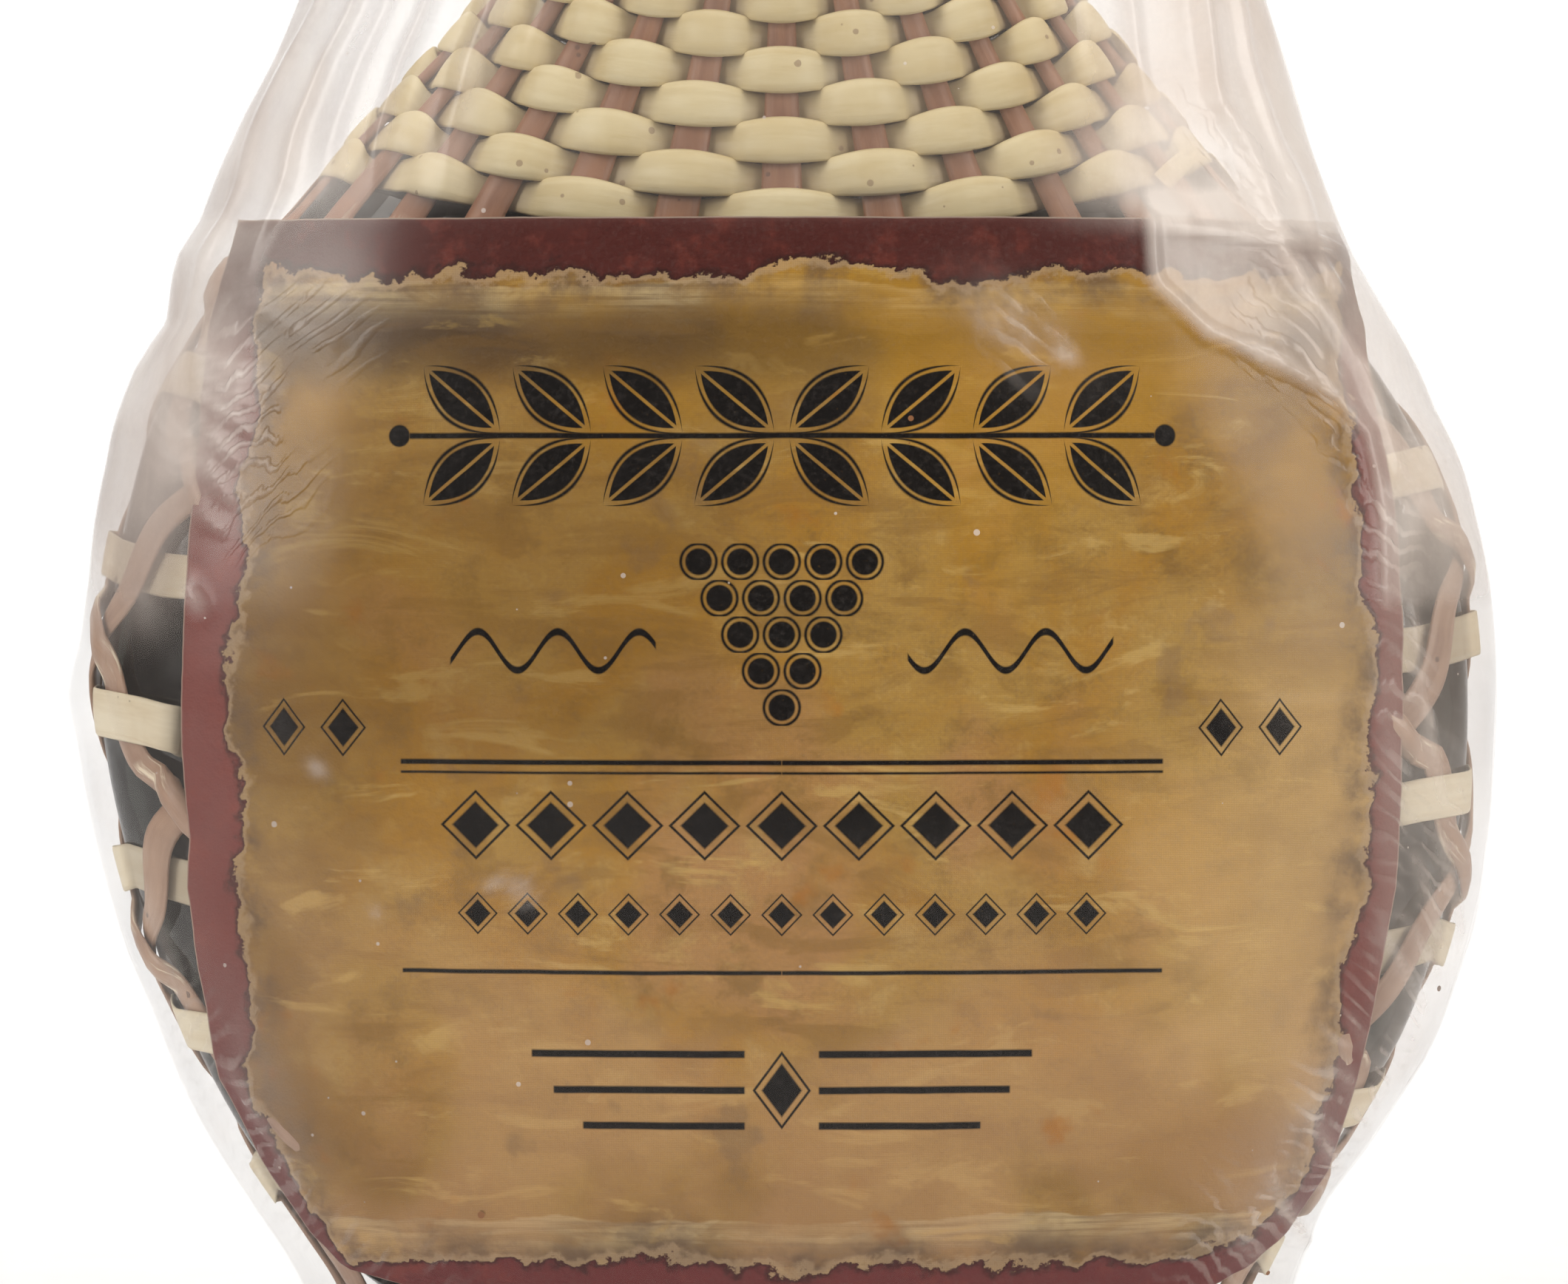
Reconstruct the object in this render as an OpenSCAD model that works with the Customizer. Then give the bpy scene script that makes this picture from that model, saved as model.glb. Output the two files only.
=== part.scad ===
/* [Glass flask] */
// Half width of the glass belly, side to side
glass_half_w = 88.8; // [80:0.2:95]
// Half depth of the glass belly, front to back
glass_half_d = 26.3; // [24:0.1:30]
// Height of the belly's centre above the ground
belly_z = 105; // [100:1:110]
// How far the belly's lower curve would run below its centre
belly_drop = 108; // [106:1:115]
// Thickness of the belly's wall
glass_wall = 4; // [3:0.1:5]
// Thickness of the base
glass_base_t = 5; // [4:0.5:7]
// Radius that the shoulder runs in to
neck_r = 14; // [13:0.5:16]
// Radius of the round neck above the shoulder
neck_tube_r = 15; // [14.5:0.1:17]
// Length of the neck above the end of the shoulder
neck_len = 32; // [30:1:40]
// Radius of the bore that the cork fits
bore_r = 9.25; // [8.5:0.05:9.7]
// Radius of the lip
lip_r = 16.5; // [16:0.1:18]
// Height of the lip
lip_h = 9; // [6:0.5:12]

/* [Wicker] */
// Number of upright stakes, an odd number so that one weaver can spiral over and under them
stakes = 27; // [21:2:29]
// Diameter of a round willow rod in the open lattice
rod_d = 4; // [3.6:0.1:4.2]
// Thickness of a stake where it is split flat under the close weave
stake_t = 1.8; // [1.4:0.1:2.2]
// Width of the flat strip that spirals round the belly
strip_w = 8; // [6:0.5:9]
// Thickness of that strip
strip_t = 1.2; // [0.8:0.1:1.4]
// Turns that the strip makes round the belly
strip_turns = 6; // [4:1:7]
// Height of the strip's upper end above the belly's centre
strip_rise = 41.8; // [38:0.2:46]
// Thickness of the flat weaver on the shoulder
weaver_t = 1; // [0.8:0.1:1.2]
// Turns that the weaver makes round the shoulder
weaver_turns = 12; // [8:1:13]
// Height of the close weave's lower edge above the belly's centre
weave_rise = 59.6; // [58:0.2:66]
// Thickness of the rod bound round the neck
binding_d = 4; // [3.6:0.1:5]

/* [Foot] */
// Half width of the foot where the rods stand
foot_half_w = 60; // [54:0.5:64]
// Half depth of the foot where the rods stand
foot_half_d = 17; // [15:0.5:20]
// Thickness of the woven mat under the glass
mat_t = 5; // [4:0.5:6]
// Height of the border round the foot
border_h = 9; // [7:0.5:12]
// Thickness of the border round the foot
border_t = 4.4; // [3.6:0.1:4.8]

/* [Label and film] */
// Angle that the label wraps to each side of the front, at the belly's centre
label_wrap = 58; // [50:1:62]
// Angle that the label wraps to each side at its top edge
label_wrap_top = 74; // [62:1:78]
// Height of the label's top edge above the belly's centre
label_rise = 65; // [56:1:66]
// Drop of the label's bottom edge below the belly's centre
label_drop = 88; // [70:1:92]
// Thickness of the label's paper
label_t = 0.15; // [0.1:0.01:0.2]
// Thickness of the film
film_t = 0.25; // [0.1:0.01:0.3]
// How far the film stands off the glass at the sides
film_off = 9.9; // [9.8:0.05:11]
// How much further the film stands off at the front and the back
film_bulge = 1.6; // [1.4:0.1:3]
// Height of the film's open lower edge above the ground
film_hem_z = 2; // [1:0.5:4]

/* [Stopper] */
// Length of the cork shank below its head
cork_len = 20; // [16:1:22]
// Depth that the cork is glued into its head
cork_socket = 5; // [3:0.5:7]
// Radius of the stopper's head
head_r = 14.5; // [13:0.5:16]
// Height of the stopper's head
head_h = 11; // [9:0.5:14]
// Radius of the rounded edges of the head
head_round = 1.6; // [0.5:0.1:2.5]

/* [Hidden] */
// Clearance between pieces that only lie on each other
gap = 0.13;
// Clearance between the glass and what is wound round it
glass_gap = 0.3;
// Radial running clearance of the cork in its bore
cork_gap = 0.05;
// Clearance where one rod crosses over another
cross_gap = 0.7;
// Clearance of the strip over a rod
strip_gap = 0.5;
// Clearance between the binding and the ends of the stakes
binding_gap = 1;
// Space between one turn of the weaver and the next
row_gap = 0.2;
// Overrun of every cut
over = 1;

// Run in per unit of height: the glass shoulder, then the film above it, each at the side and front
side_slope = 0.8;
front_slope = 0.258;
film_side_slope = 0.4;
film_front_slope = 0.16;
// Lengths over which a slope blends into the neck and into the foot
side_blend = 4;
front_blend = 3;
foot_blend = 3;
// How much higher the strip and the weaver lie at the sides than at the front
strip_smile = 4;
weaver_smile = 8;
// How far above the end of the shoulder the glass changes to the round neck, and its overlap
neck_join = 8;
neck_lap = 2;
// Drop below the weave over which the fanned stakes of the shoulder close up to their even spacing
fan_drop = 14;
// Distance from the end of the shoulder up to the binding, and down to the weave's last row
binding_rise = 3.4;
weave_stop = 1;
// How far the film's neck edge lies off the weave, and the drop of its gathers below that edge
rim_gap = 0.6;
gather_drop = 26;
// How sharply the gathers turn in
gather_power = 2.2;
// Where the strip's lower end lies above the border, and how a rod's foot clears the ground
strip_foot = 11.8;
rod_foot = 1;
// The label's distance inside the film, and the shape of its lower corners
label_gap = 0.35;
label_widen = 10;
corner_power = 8;
corner_round = 2.2;
// Half width of a flat stake as a share of the room between stakes
stake_share = 0.24;
// Half of the length that the weaver, and the strip, lie flat at each stake, as a share of that room
weaver_rest_share = 0.27;
strip_rest_share = 0.34;
// Where the belly's side share is above this value, the strip has one more section at each rod
bend_share = 0.6;
// Parts of a pitch: how far a rod lies flat beyond the strip, and where it starts to lie over another
rod_rest_share = 0.25;
rod_over_share = 0.43;
// How much a rod still leans where it lies at the strip, as a share of its mean lean
rod_lean_share = 0.55;
// Longest stretch of a rod without a bend, between the close weave and the strip
bend_len = 12;
// Step used to measure slopes
tick = 0.05;
// Sides of a rod, of the glass, of half the film and of the label
rod_sides = 6;
glass_sides = 26;
film_sides = 18;
label_sides = 12;
// Rings up the glass, the film and the label, and along a stake under the weave
glass_rings = 20;
film_rings = 20;
label_rings = 12;
stake_rings = 5;
// Points round the foot
foot_points = 48;
// How far the first stake stands on from the side, as a share of its room, so that one is at the front
start_share = 0.25;

strip_top_z = belly_z + strip_rise;
strip_end_z = border_h + strip_foot;
strip_pitch = (strip_top_z - strip_end_z) / strip_turns;
neck_z = belly_z + (glass_half_w * sqrt(1 + side_slope * side_slope) - neck_r) / side_slope;
mouth_z = neck_z + neck_len;
glass_foot_z = mat_t + glass_gap;
weave_z = belly_z + weave_rise;
row_pitch = (neck_z - weave_stop - weave_z) / (weaver_turns + 1);
stake_top_z = neck_z + binding_rise - binding_d / 2 - binding_gap;
film_top_z = stake_top_z;
cork_r = bore_r - cork_gap;
// Distances from the glass to the middle of each layer
rod_in = glass_gap + rod_d / 2;
rod_out = rod_in + rod_d + cross_gap;
strip_in = glass_gap + strip_t / 2;
strip_out = rod_in + rod_d / 2 + strip_gap + strip_t / 2;
rod_on_strip = strip_in + strip_t / 2 + gap + rod_d / 2;
weaver_in = glass_gap + weaver_t / 2;
stake_mid = weaver_in + weaver_t / 2 + gap + stake_t / 2;
weaver_out = stake_mid + stake_t / 2 + gap + weaver_t / 2;
foot_in = rod_in + rod_d / 2 + glass_gap;

function two(n) = n < 10 ? str("0", n) : str(n);
stake_names = [for (i = [1:stakes]) str("stake_", two(i))];
weaver_names = [for (i = [1:weaver_turns]) str("shoulder_weaver_", two(i))];

// A value that follows v where it is large and stays above zero elsewhere
function soft(v, blend) = blend * ln(1 + exp(v / blend));

// Half size at height h over the belly's centre: an ellipse, then its tangent of the given slope
function above(a, r, slope, h) =
    let (reach = sqrt(a * a + slope * slope * r * r))
    h < slope * r * r / reach ? a * sqrt(1 - h * h / (r * r)) : reach - slope * h;

// Half size at depth h under the belly's centre
function below(a, drop, h) = a * sqrt(max(0, 1 - h * h / (drop * drop)));

// Half size of a flask-shaped surface that stands off the glass, with its foot
function half_size(z, a, foot, slope, blend, off) =
    z > belly_z
    ? neck_r + off + soft(above(a + off, glass_half_w + off, slope, z - belly_z) - neck_r - off, blend)
    : foot + off + soft(below(a + off, belly_drop + off, belly_z - z) - foot - off, foot_blend);

function glass_x(z, off) = half_size(z, glass_half_w, 0, side_slope, side_blend, off);
function glass_y(z, off) = half_size(z, glass_half_d, 0, front_slope, front_blend, off);
function basket_x(z) = half_size(z, glass_half_w, foot_half_w, side_slope, side_blend, 0);
function basket_y(z) = half_size(z, glass_half_d, foot_half_d, front_slope, front_blend, 0);

// The film's size is drawn in to the weave round the neck over its last stretch
function gathered(size, weave_size, z, off) =
    let (t = max(0, (z - film_top_z + gather_drop) / gather_drop),
        rim = weave_size + weaver_out + weaver_t / 2 + rim_gap + off)
    rim + (size - rim) * (1 - pow(t, gather_power));
function film_x(z, off) =
    gathered(half_size(z, glass_half_w, foot_half_w, film_side_slope, side_blend, film_off + off),
        basket_x(z), z, off);
function film_y(z, off) =
    gathered(half_size(z, glass_half_d + film_bulge, foot_half_d + film_bulge,
        film_front_slope, front_blend, film_off + off), basket_y(z), z, off);

// How far the stakes have closed up from the shoulder's fan to the belly's even spacing
function fan_share(z) =
    let (t = min(1, max(0, (weave_z - z) / fan_drop))) t * t * (3 - 2 * t);

// Ellipse angle of a share of a turn: equal angles on the shoulder, about equal lengths on the belly
function angle_of(turn, z) =
    let (ratio = basket_x(z) / basket_y(z), lean = (ratio - 1) / (ratio + 1) / 2 * fan_share(z))
    let (even = 360 * (turn + start_share / stakes)) even + lean * sin(2 * even) * 180 / PI;

// Outward direction of the basket's surface
function outward(turn, z) =
    let (a = angle_of(turn, z), x = basket_x(z), y = basket_y(z),
        x_run = (basket_x(z + tick) - basket_x(z - tick)) / (2 * tick),
        y_run = (basket_y(z + tick) - basket_y(z - tick)) / (2 * tick),
        n = [cos(a) / x, sin(a) / y, -cos(a) * cos(a) * x_run / x - sin(a) * sin(a) * y_run / y])
    n / norm(n);

// Point of the basket that stands off the glass by the given distance
function spot(turn, z, off) =
    let (a = angle_of(turn, z))
    [basket_x(z) * cos(a), basket_y(z) * sin(a), z] + off * outward(turn, z);

// Height at a number of pitches down the lattice, then of the strip and the weaver after so many turns
function side_share(turn) = cos(360 * turn) * cos(360 * turn);
function lattice_z(turn, pitches) =
    strip_top_z - strip_pitch * pitches + strip_smile * side_share(turn);
function strip_z(turn) = lattice_z(turn, turn);
function row_z(turn) =
    weave_z + row_pitch * (turn + 1 / 2)
    + weaver_smile * side_share(turn) * (1 - turn / (weaver_turns + 1));

// Solid through rings of points, one ring after another, with flat ends
module skin(rings) {
    n = len(rings[0]);
    last = len(rings) - 1;
    points = [for (ring = rings) each ring];
    sides = [for (i = [0:last - 1], j = [0:n - 1])
        let (k = (j + 1) % n, a = i * n + j, b = i * n + k)
        each [[a, b + n, b], [a, a + n, b + n]]];
    ends = [for (j = [1:n - 2]) each [[0, j, j + 1], [last * n, last * n + j + 1, last * n + j]]];
    polyhedron(points, concat(sides, ends));
}

// Thin solid between an outer and an inner grid of points, both in rows of the same length
module sheet(outer, inner) {
    rows = len(outer);
    n = len(outer[0]);
    half = rows * n;
    points = concat([for (row = outer) each row], [for (row = inner) each row]);
    faces = [for (i = [0:rows - 2], j = [0:n - 2])
        let (a = i * n + j, b = a + 1, c = a + n + 1, d = a + n)
        each [[a, c, b], [a, d, c], [half + a, half + b, half + c], [half + a, half + c, half + d]]];
    rim_rows = [for (j = [0:n - 2], top = [0, 1])
        let (a = top * (rows - 1) * n + j, b = a + 1)
        each top == 0 ? [[a, half + b, half + a], [a, b, half + b]]
            : [[a, half + b, b], [a, half + a, half + b]]];
    rim_ends = [for (i = [0:rows - 2], far = [0, 1])
        let (a = i * n + far * (n - 1), d = a + n)
        each far == 0 ? [[a, half + d, d], [a, half + a, half + d]]
            : [[a, half + d, half + a], [a, d, half + d]]];
    polyhedron(points, concat(faces, rim_rows, rim_ends));
}

// Heights spread over a span, somewhat closer together near both ends
function heights(low, high, count) =
    [for (i = [0:count]) low + (high - low) * (i / count + (1 - cos(180 * i / count)) / 2) / 2];

module glass_loft(low, high, off) {
    skin([for (z = heights(low, high, glass_rings))
        [for (j = [0:glass_sides - 1])
            let (a = 360 * j / glass_sides) [glass_x(z, off) * cos(a), glass_y(z, off) * sin(a), z]]]);
}

// Blown flask: a flat round belly, a shoulder, a round neck and a lip, open at the mouth
module glass_flask() {
    join_z = neck_z + neck_join;
    color([0.16, 0.17, 0.16, 0.75]) difference() {
        union() {
            glass_loft(glass_foot_z, join_z, 0);
            translate([0, 0, join_z - neck_lap]) cylinder(h = mouth_z - join_z + neck_lap, r = neck_tube_r);
            translate([0, 0, mouth_z - lip_h]) rotate_extrude() lip_outline();
        }
        glass_loft(glass_foot_z + glass_base_t, join_z - neck_lap, -glass_wall);
        translate([0, 0, join_z - neck_lap - over]) cylinder(h = neck_len + over, r = bore_r);
    }
}

module lip_outline() {
    fall = lip_r - neck_tube_r;
    polygon([[neck_tube_r - over, 0], [neck_tube_r, 0], [lip_r, fall], [lip_r, lip_h - fall / 2],
        [lip_r - fall / 2, lip_h], [neck_tube_r - over, lip_h]]);
}

// Oval at the foot, standing off the line of the rods by the given distance
module foot_oval(off) {
    polygon([for (j = [0:foot_points - 1])
        let (a = 360 * j / foot_points, n = [cos(a) / foot_half_w, sin(a) / foot_half_d])
        [foot_half_w * cos(a), foot_half_d * sin(a)] + off * n / norm(n)]);
}

// Woven willow mat under the glass, as a closed solid
module base_mat() {
    color([0.62, 0.47, 0.33]) linear_extrude(mat_t) foot_oval(0);
}

// Border of willow round the feet of the rods
module foot_border() {
    color([0.55, 0.4, 0.28]) linear_extrude(border_h) difference() {
        foot_oval(foot_in + border_t);
        foot_oval(foot_in);
    }
}

// Rod bound round the neck over the ends of the stakes
module neck_binding() {
    ring_r = basket_x(neck_z + binding_rise - binding_d / 2) + glass_gap + binding_d / 2;
    color([0.85, 0.8, 0.66]) translate([0, 0, neck_z + binding_rise])
        rotate_extrude() translate([ring_r, 0]) circle(d = binding_d);
}

// Flat strip that spirals down the belly, over each rod that leans one way and under the others
function strip_section(turn, off) =
    let (z = strip_z(turn), rise = norm(spot(turn, z + tick, off) - spot(turn, z - tick, off)) / (2 * tick),
        half = strip_w / 2 / rise)
    [spot(turn, z - half, off - strip_t / 2), spot(turn, z + half, off - strip_t / 2),
        spot(turn, z + half, off + strip_t / 2), spot(turn, z - half, off + strip_t / 2)];

module lattice_strip() {
    color([0.91, 0.88, 0.76]) skin([for (j = [0:stakes * strip_turns],
        side = side_share(j / stakes) > bend_share ? [-1, 0, 1] : [-1, 1])
        strip_section((j + side * strip_rest_share) / stakes, j % 2 == 0 ? strip_out : strip_in)]);
}

// One length of the flat weaver goes once round the shoulder, over one stake and under the next
function weaver_section(turn, off) =
    let (z = row_z(turn), half = (row_z(turn + 1) - z - row_gap) / 2)
    [spot(turn, z - half, off - weaver_t / 2), spot(turn, z + half, off - weaver_t / 2),
        spot(turn, z + half, off + weaver_t / 2), spot(turn, z - half, off + weaver_t / 2)];

module shoulder_weaver(i) {
    color([0.87, 0.83, 0.66]) skin([for (j = [(i - 1) * stakes:i * stakes - 1], side = [-1, 1])
        weaver_section((j + side * weaver_rest_share) / stakes, j % 2 == 0 ? weaver_out : weaver_in)]);
}

// A stake's way down: stations of [share of a turn, height, distance, half width, half thickness]
function stake_stations(i) =
    let (lean = i % 2 == 1 ? 1 : -1, first = i - stakes, step = stakes + lean,
        pitches = floor((stakes * strip_turns - first) / step),
        over_strip = lean == 1 ? rod_in : rod_on_strip,
        rest_lean = rod_rest_share * rod_lean_share,
        crossing = lean == 1
            ? [[rod_over_share, rod_over_share, rod_out], [1 - rod_over_share, 1 - rod_over_share, rod_out]]
            : [[1 / 2, 1 / 2, rod_in]],
        parts = concat([[-rod_rest_share, -rest_lean, over_strip], [rod_rest_share, rest_lean, over_strip]],
            crossing),
        weave_low_z = weave_z + weaver_smile * side_share(first / stakes) - gap,
        rest_z = lattice_z(first / stakes, (first + step * rod_rest_share) / stakes),
        bends = floor((weave_low_z - rest_z) / bend_len),
        last_turn = (first + lean * pitches) / stakes,
        last_z = strip_z((first + step * pitches) / stakes))
    concat(
        [for (z = heights(stake_top_z, weave_low_z, stake_rings - 1))
            [first / stakes, z, stake_mid, 0, stake_t / 2]],
        [for (b = [1:1:bends])
            let (share = b / (bends + 1))
            [(first + lean * rest_lean * share) / stakes,
                weave_low_z + (rest_z - weave_low_z) * share, rod_in, rod_d / 2, rod_d / 2]],
        [for (k = [0:pitches], part = parts)
            if ((k > 0 || part[0] > 0) && (k < pitches || part[0] < 0))
            let (turn = (first + lean * (k + part[1])) / stakes)
            [turn, lattice_z(turn, (first + step * (k + part[0])) / stakes), part[2],
                rod_d / 2, rod_d / 2]],
        [[last_turn, last_z - strip_w / 2, over_strip, rod_d / 2, rod_d / 2],
            [last_turn, border_h + border_t, rod_in, rod_d / 2, rod_d / 2],
            [last_turn, rod_foot, rod_in, rod_d / 2, rod_d / 2]]);

function stake_ring(stations, k) =
    let (s = stations[k], here = spot(s[0], s[1], s[2]), n = outward(s[0], s[1]),
        before = stations[max(0, k - 1)], after = stations[min(len(stations) - 1, k + 1)],
        way = spot(after[0], after[1], after[2]) - spot(before[0], before[1], before[2]),
        across = cross(n, way) / norm(cross(n, way)),
        room = norm(spot(s[0] + 1 / stakes, s[1], 0) - spot(s[0], s[1], 0)),
        half = s[3] > 0 ? s[3] : stake_share * room)
    [for (j = [0:rod_sides - 1])
        let (a = 360 * j / rod_sides) here + half * cos(a) * across + s[4] * sin(a) * n];

module stake(i) {
    stations = stake_stations(i);
    color(i % 2 == 1 ? [0.62, 0.46, 0.34] : [0.68, 0.52, 0.4])
        skin([for (k = [0:len(stations) - 1]) stake_ring(stations, k)]);
}

// Paper label on the front, with a straight top edge and a round lower edge
function label_half_angle(z) =
    let (up = (z - belly_z) / label_rise, down = (belly_z - z) / label_drop)
    z > belly_z
    ? label_wrap + (label_wrap_top - label_wrap) * up
    : (label_wrap + label_widen * down) * pow(max(0, 1 - pow(down, corner_power)), 1 / corner_round);

function label_grid(off) =
    [for (z = heights(belly_z - label_drop + label_t, belly_z + label_rise, label_rings))
        [for (j = [0:label_sides])
            let (a = 270 + label_half_angle(z) * (2 * j / label_sides - 1))
            [film_x(z, off) * cos(a), film_y(z, off) * sin(a), z]]];

module front_label() {
    color([0.7, 0.57, 0.35]) sheet(label_grid(-label_gap), label_grid(-label_gap - label_t));
}

// Half of the clear film, from one side seam round to the other
function film_grid(first, off) =
    [for (z = heights(film_hem_z, film_top_z, film_rings))
        [for (j = [0:film_sides])
            let (a = first + 180 * j / film_sides) [film_x(z, off) * cos(a), film_y(z, off) * sin(a), z]]];

module film_front() {
    color([0.85, 0.85, 0.9, 0.3]) sheet(film_grid(180, film_t), film_grid(180, 0));
}

module film_back() {
    color([0.85, 0.85, 0.9, 0.3]) sheet(film_grid(0, film_t), film_grid(0, 0));
}

// Cork shank of the stopper
module stopper_cork() {
    color([0.78, 0.62, 0.43]) translate([0, 0, mouth_z - cork_len])
        cylinder(h = cork_len + cork_socket, r = cork_r);
}

// Head of the stopper, with a socket for the cork
module stopper_head() {
    color([0.12, 0.1, 0.09]) translate([0, 0, mouth_z + gap]) difference() {
        rotate_extrude() polygon([[0, 0], [head_r - head_round / 2, 0], [head_r, head_round / 2],
            for (a = [0:15:90]) [head_r - head_round + head_round * cos(a),
                head_h - head_round + head_round * sin(a)],
            [0, head_h]]);
        translate([0, 0, -over]) cylinder(h = cork_socket - gap + over, r = cork_r);
    }
}

glass_flask();
base_mat();
foot_border();
neck_binding();
lattice_strip();
front_label();
film_front();
film_back();
stopper_cork();
stopper_head();
for (i = [1:stakes]) stake(i);
for (i = [1:weaver_turns]) shoulder_weaver(i);
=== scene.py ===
# %% [markdown]
# # A flat wine flask in a woven willow cover
# The object is a flat, disc-shaped flask of dark glass. It wears a cover of split willow: a close
# weave on the shoulder and an open lattice round the belly. A big paper label lies on the lattice,
# and an old clear film is shrunk over all of it. The CAD model gives each piece its place and size,
# so this notebook starts by loading that model as a fixed frame, and measures the finished model at
# the end.

import math

import bpy
import numpy as np
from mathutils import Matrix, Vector


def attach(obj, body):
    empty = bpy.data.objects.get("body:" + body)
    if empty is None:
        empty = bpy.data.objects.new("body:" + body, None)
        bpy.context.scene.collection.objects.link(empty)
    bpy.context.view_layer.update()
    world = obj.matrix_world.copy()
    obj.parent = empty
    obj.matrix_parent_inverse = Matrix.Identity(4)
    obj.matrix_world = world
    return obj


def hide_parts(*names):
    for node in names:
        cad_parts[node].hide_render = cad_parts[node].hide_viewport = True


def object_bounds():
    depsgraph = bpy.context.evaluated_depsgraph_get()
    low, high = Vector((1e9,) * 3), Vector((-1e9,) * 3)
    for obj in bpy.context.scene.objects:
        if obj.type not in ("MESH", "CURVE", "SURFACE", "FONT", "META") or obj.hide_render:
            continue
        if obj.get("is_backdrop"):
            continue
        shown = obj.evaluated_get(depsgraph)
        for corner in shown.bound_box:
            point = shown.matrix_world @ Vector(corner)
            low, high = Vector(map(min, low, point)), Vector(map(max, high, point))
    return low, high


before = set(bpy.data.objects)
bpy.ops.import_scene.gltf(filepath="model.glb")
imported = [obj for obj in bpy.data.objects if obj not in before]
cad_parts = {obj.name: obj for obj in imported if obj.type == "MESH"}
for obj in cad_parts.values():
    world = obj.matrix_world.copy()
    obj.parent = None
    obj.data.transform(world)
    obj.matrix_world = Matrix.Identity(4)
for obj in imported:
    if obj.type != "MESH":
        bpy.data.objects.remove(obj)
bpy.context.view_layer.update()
MM = 0.001

# %% [markdown]
# ## The shape that everything is wound round
# Willow, label and film all follow the same body, so one set of functions gives its half width and
# half depth at any height. Each is an ellipse that runs out into a straight slope towards the neck.
# These are the formulas of the CAD source in millimetres, written for whole arrays of points,
# because a finer mesh made from the same formulas fits the frame with no trial and error.

# %% Sizes and sections of the flask
# Half sizes, heights and slopes of the glass, then those of the border and mat that it stands in
GLASS_HALF_W, GLASS_HALF_D, GLASS_WALL, GLASS_BASE = 88.8, 26.3, 4.0, 5.0
BELLY_Z, BELLY_DROP, NECK_R, NECK_TUBE_R, BORE_R = 105.0, 108.0, 14.0, 15.0, 9.25
LIP_R, LIP_H, NECK_LEN = 16.5, 9.0, 32.0
SIDE_SLOPE, FRONT_SLOPE, SIDE_BLEND, FRONT_BLEND, FOOT_BLEND = 0.8, 0.258, 4.0, 3.0, 3.0
FOOT_HALF_W, FOOT_HALF_D, MAT_T, BORDER_H, BORDER_T = 60.0, 17.0, 5.0, 9.0, 4.4
GLASS_GAP, GAP = 0.3, 0.13
NECK_Z = BELLY_Z + (GLASS_HALF_W * math.sqrt(1 + SIDE_SLOPE**2) - NECK_R) / SIDE_SLOPE
MOUTH_Z = NECK_Z + NECK_LEN


def smoothstep(low, high, v):
    t = np.clip((np.asarray(v, float) - low) / (high - low), 0, 1)
    return t * t * (3 - 2 * t)


def soft(v, blend):
    return blend * np.logaddexp(0, v / blend)


def above(a, r, slope, h):
    """Half size above the widest place: an arc that runs out into a straight slope."""
    reach = math.sqrt(a * a + slope * slope * r * r)
    arc = a * np.sqrt(np.clip(1 - (h / r) ** 2, 0, 1))
    return np.where(h < slope * r * r / reach, arc, reach - slope * h)


def half_size(z, a, foot, slope, blend, off):
    """Half size of a section at a height, from its size at the belly and foot, a distance off it."""
    z = np.asarray(z, float)
    high = above(a + off, GLASS_HALF_W + off, slope, z - BELLY_Z) - NECK_R - off
    low = (a + off) * np.sqrt(np.clip(1 - ((BELLY_Z - z) / (BELLY_DROP + off)) ** 2, 0, 1)) - foot - off
    return np.where(z > BELLY_Z, NECK_R + off + soft(high, blend), foot + off + soft(low, FOOT_BLEND))


def basket_size(z):
    """Half width and half depth of the wicker's inside, on which every strand is laid."""
    return (
        half_size(z, GLASS_HALF_W, FOOT_HALF_W, SIDE_SLOPE, SIDE_BLEND, 0.0),
        half_size(z, GLASS_HALF_D, FOOT_HALF_D, FRONT_SLOPE, FRONT_BLEND, 0.0),
    )


print("neck starts at", round(NECK_Z, 1), "mm, mouth at", round(MOUTH_Z, 1), "mm")

# %% [markdown]
# ## Turns, crossings and layers of the weave
# Twenty-seven stakes stand round the flask. Because that number is odd, one weaver that goes over
# one stake and under the next comes out on the other side of each stake on its next round. So every
# strand can be described by turns: crossing number j lies at turn j / 27. A point of the cover is a
# turn, a height and a distance off the glass, and the surface's own normal carries it outward.

# %% Places on the cover
STAKES, ROD_D, STAKE_T = 27, 4.0, 1.8
STRIP_W, STRIP_T, STRIP_TURNS = 8.0, 1.2, 6
WEAVER_T, WEAVER_TURNS = 1.0, 12
STRIP_TOP_Z, STRIP_END_Z = BELLY_Z + 41.8, BORDER_H + 11.8
STRIP_PITCH = (STRIP_TOP_Z - STRIP_END_Z) / STRIP_TURNS
WEAVE_Z = BELLY_Z + 59.6
ROW_PITCH = (NECK_Z - 1 - WEAVE_Z) / (WEAVER_TURNS + 1)
STAKE_TOP_Z = NECK_Z + 3.4 - 2.0 - 1.0
ROD_IN = GLASS_GAP + ROD_D / 2
ROD_OUT = ROD_IN + ROD_D + 0.7
STRIP_IN = GLASS_GAP + STRIP_T / 2
STRIP_OUT = ROD_IN + ROD_D / 2 + 0.5 + STRIP_T / 2
ROD_ON_STRIP = STRIP_IN + STRIP_T / 2 + GAP + ROD_D / 2
WEAVER_IN = GLASS_GAP + WEAVER_T / 2
STAKE_MID = WEAVER_IN + WEAVER_T / 2 + GAP + STAKE_T / 2
WEAVER_OUT = STAKE_MID + STAKE_T / 2 + GAP + WEAVER_T / 2
START_SHARE, TICK, FAN_DROP = 0.25, 0.05, 14.0
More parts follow.
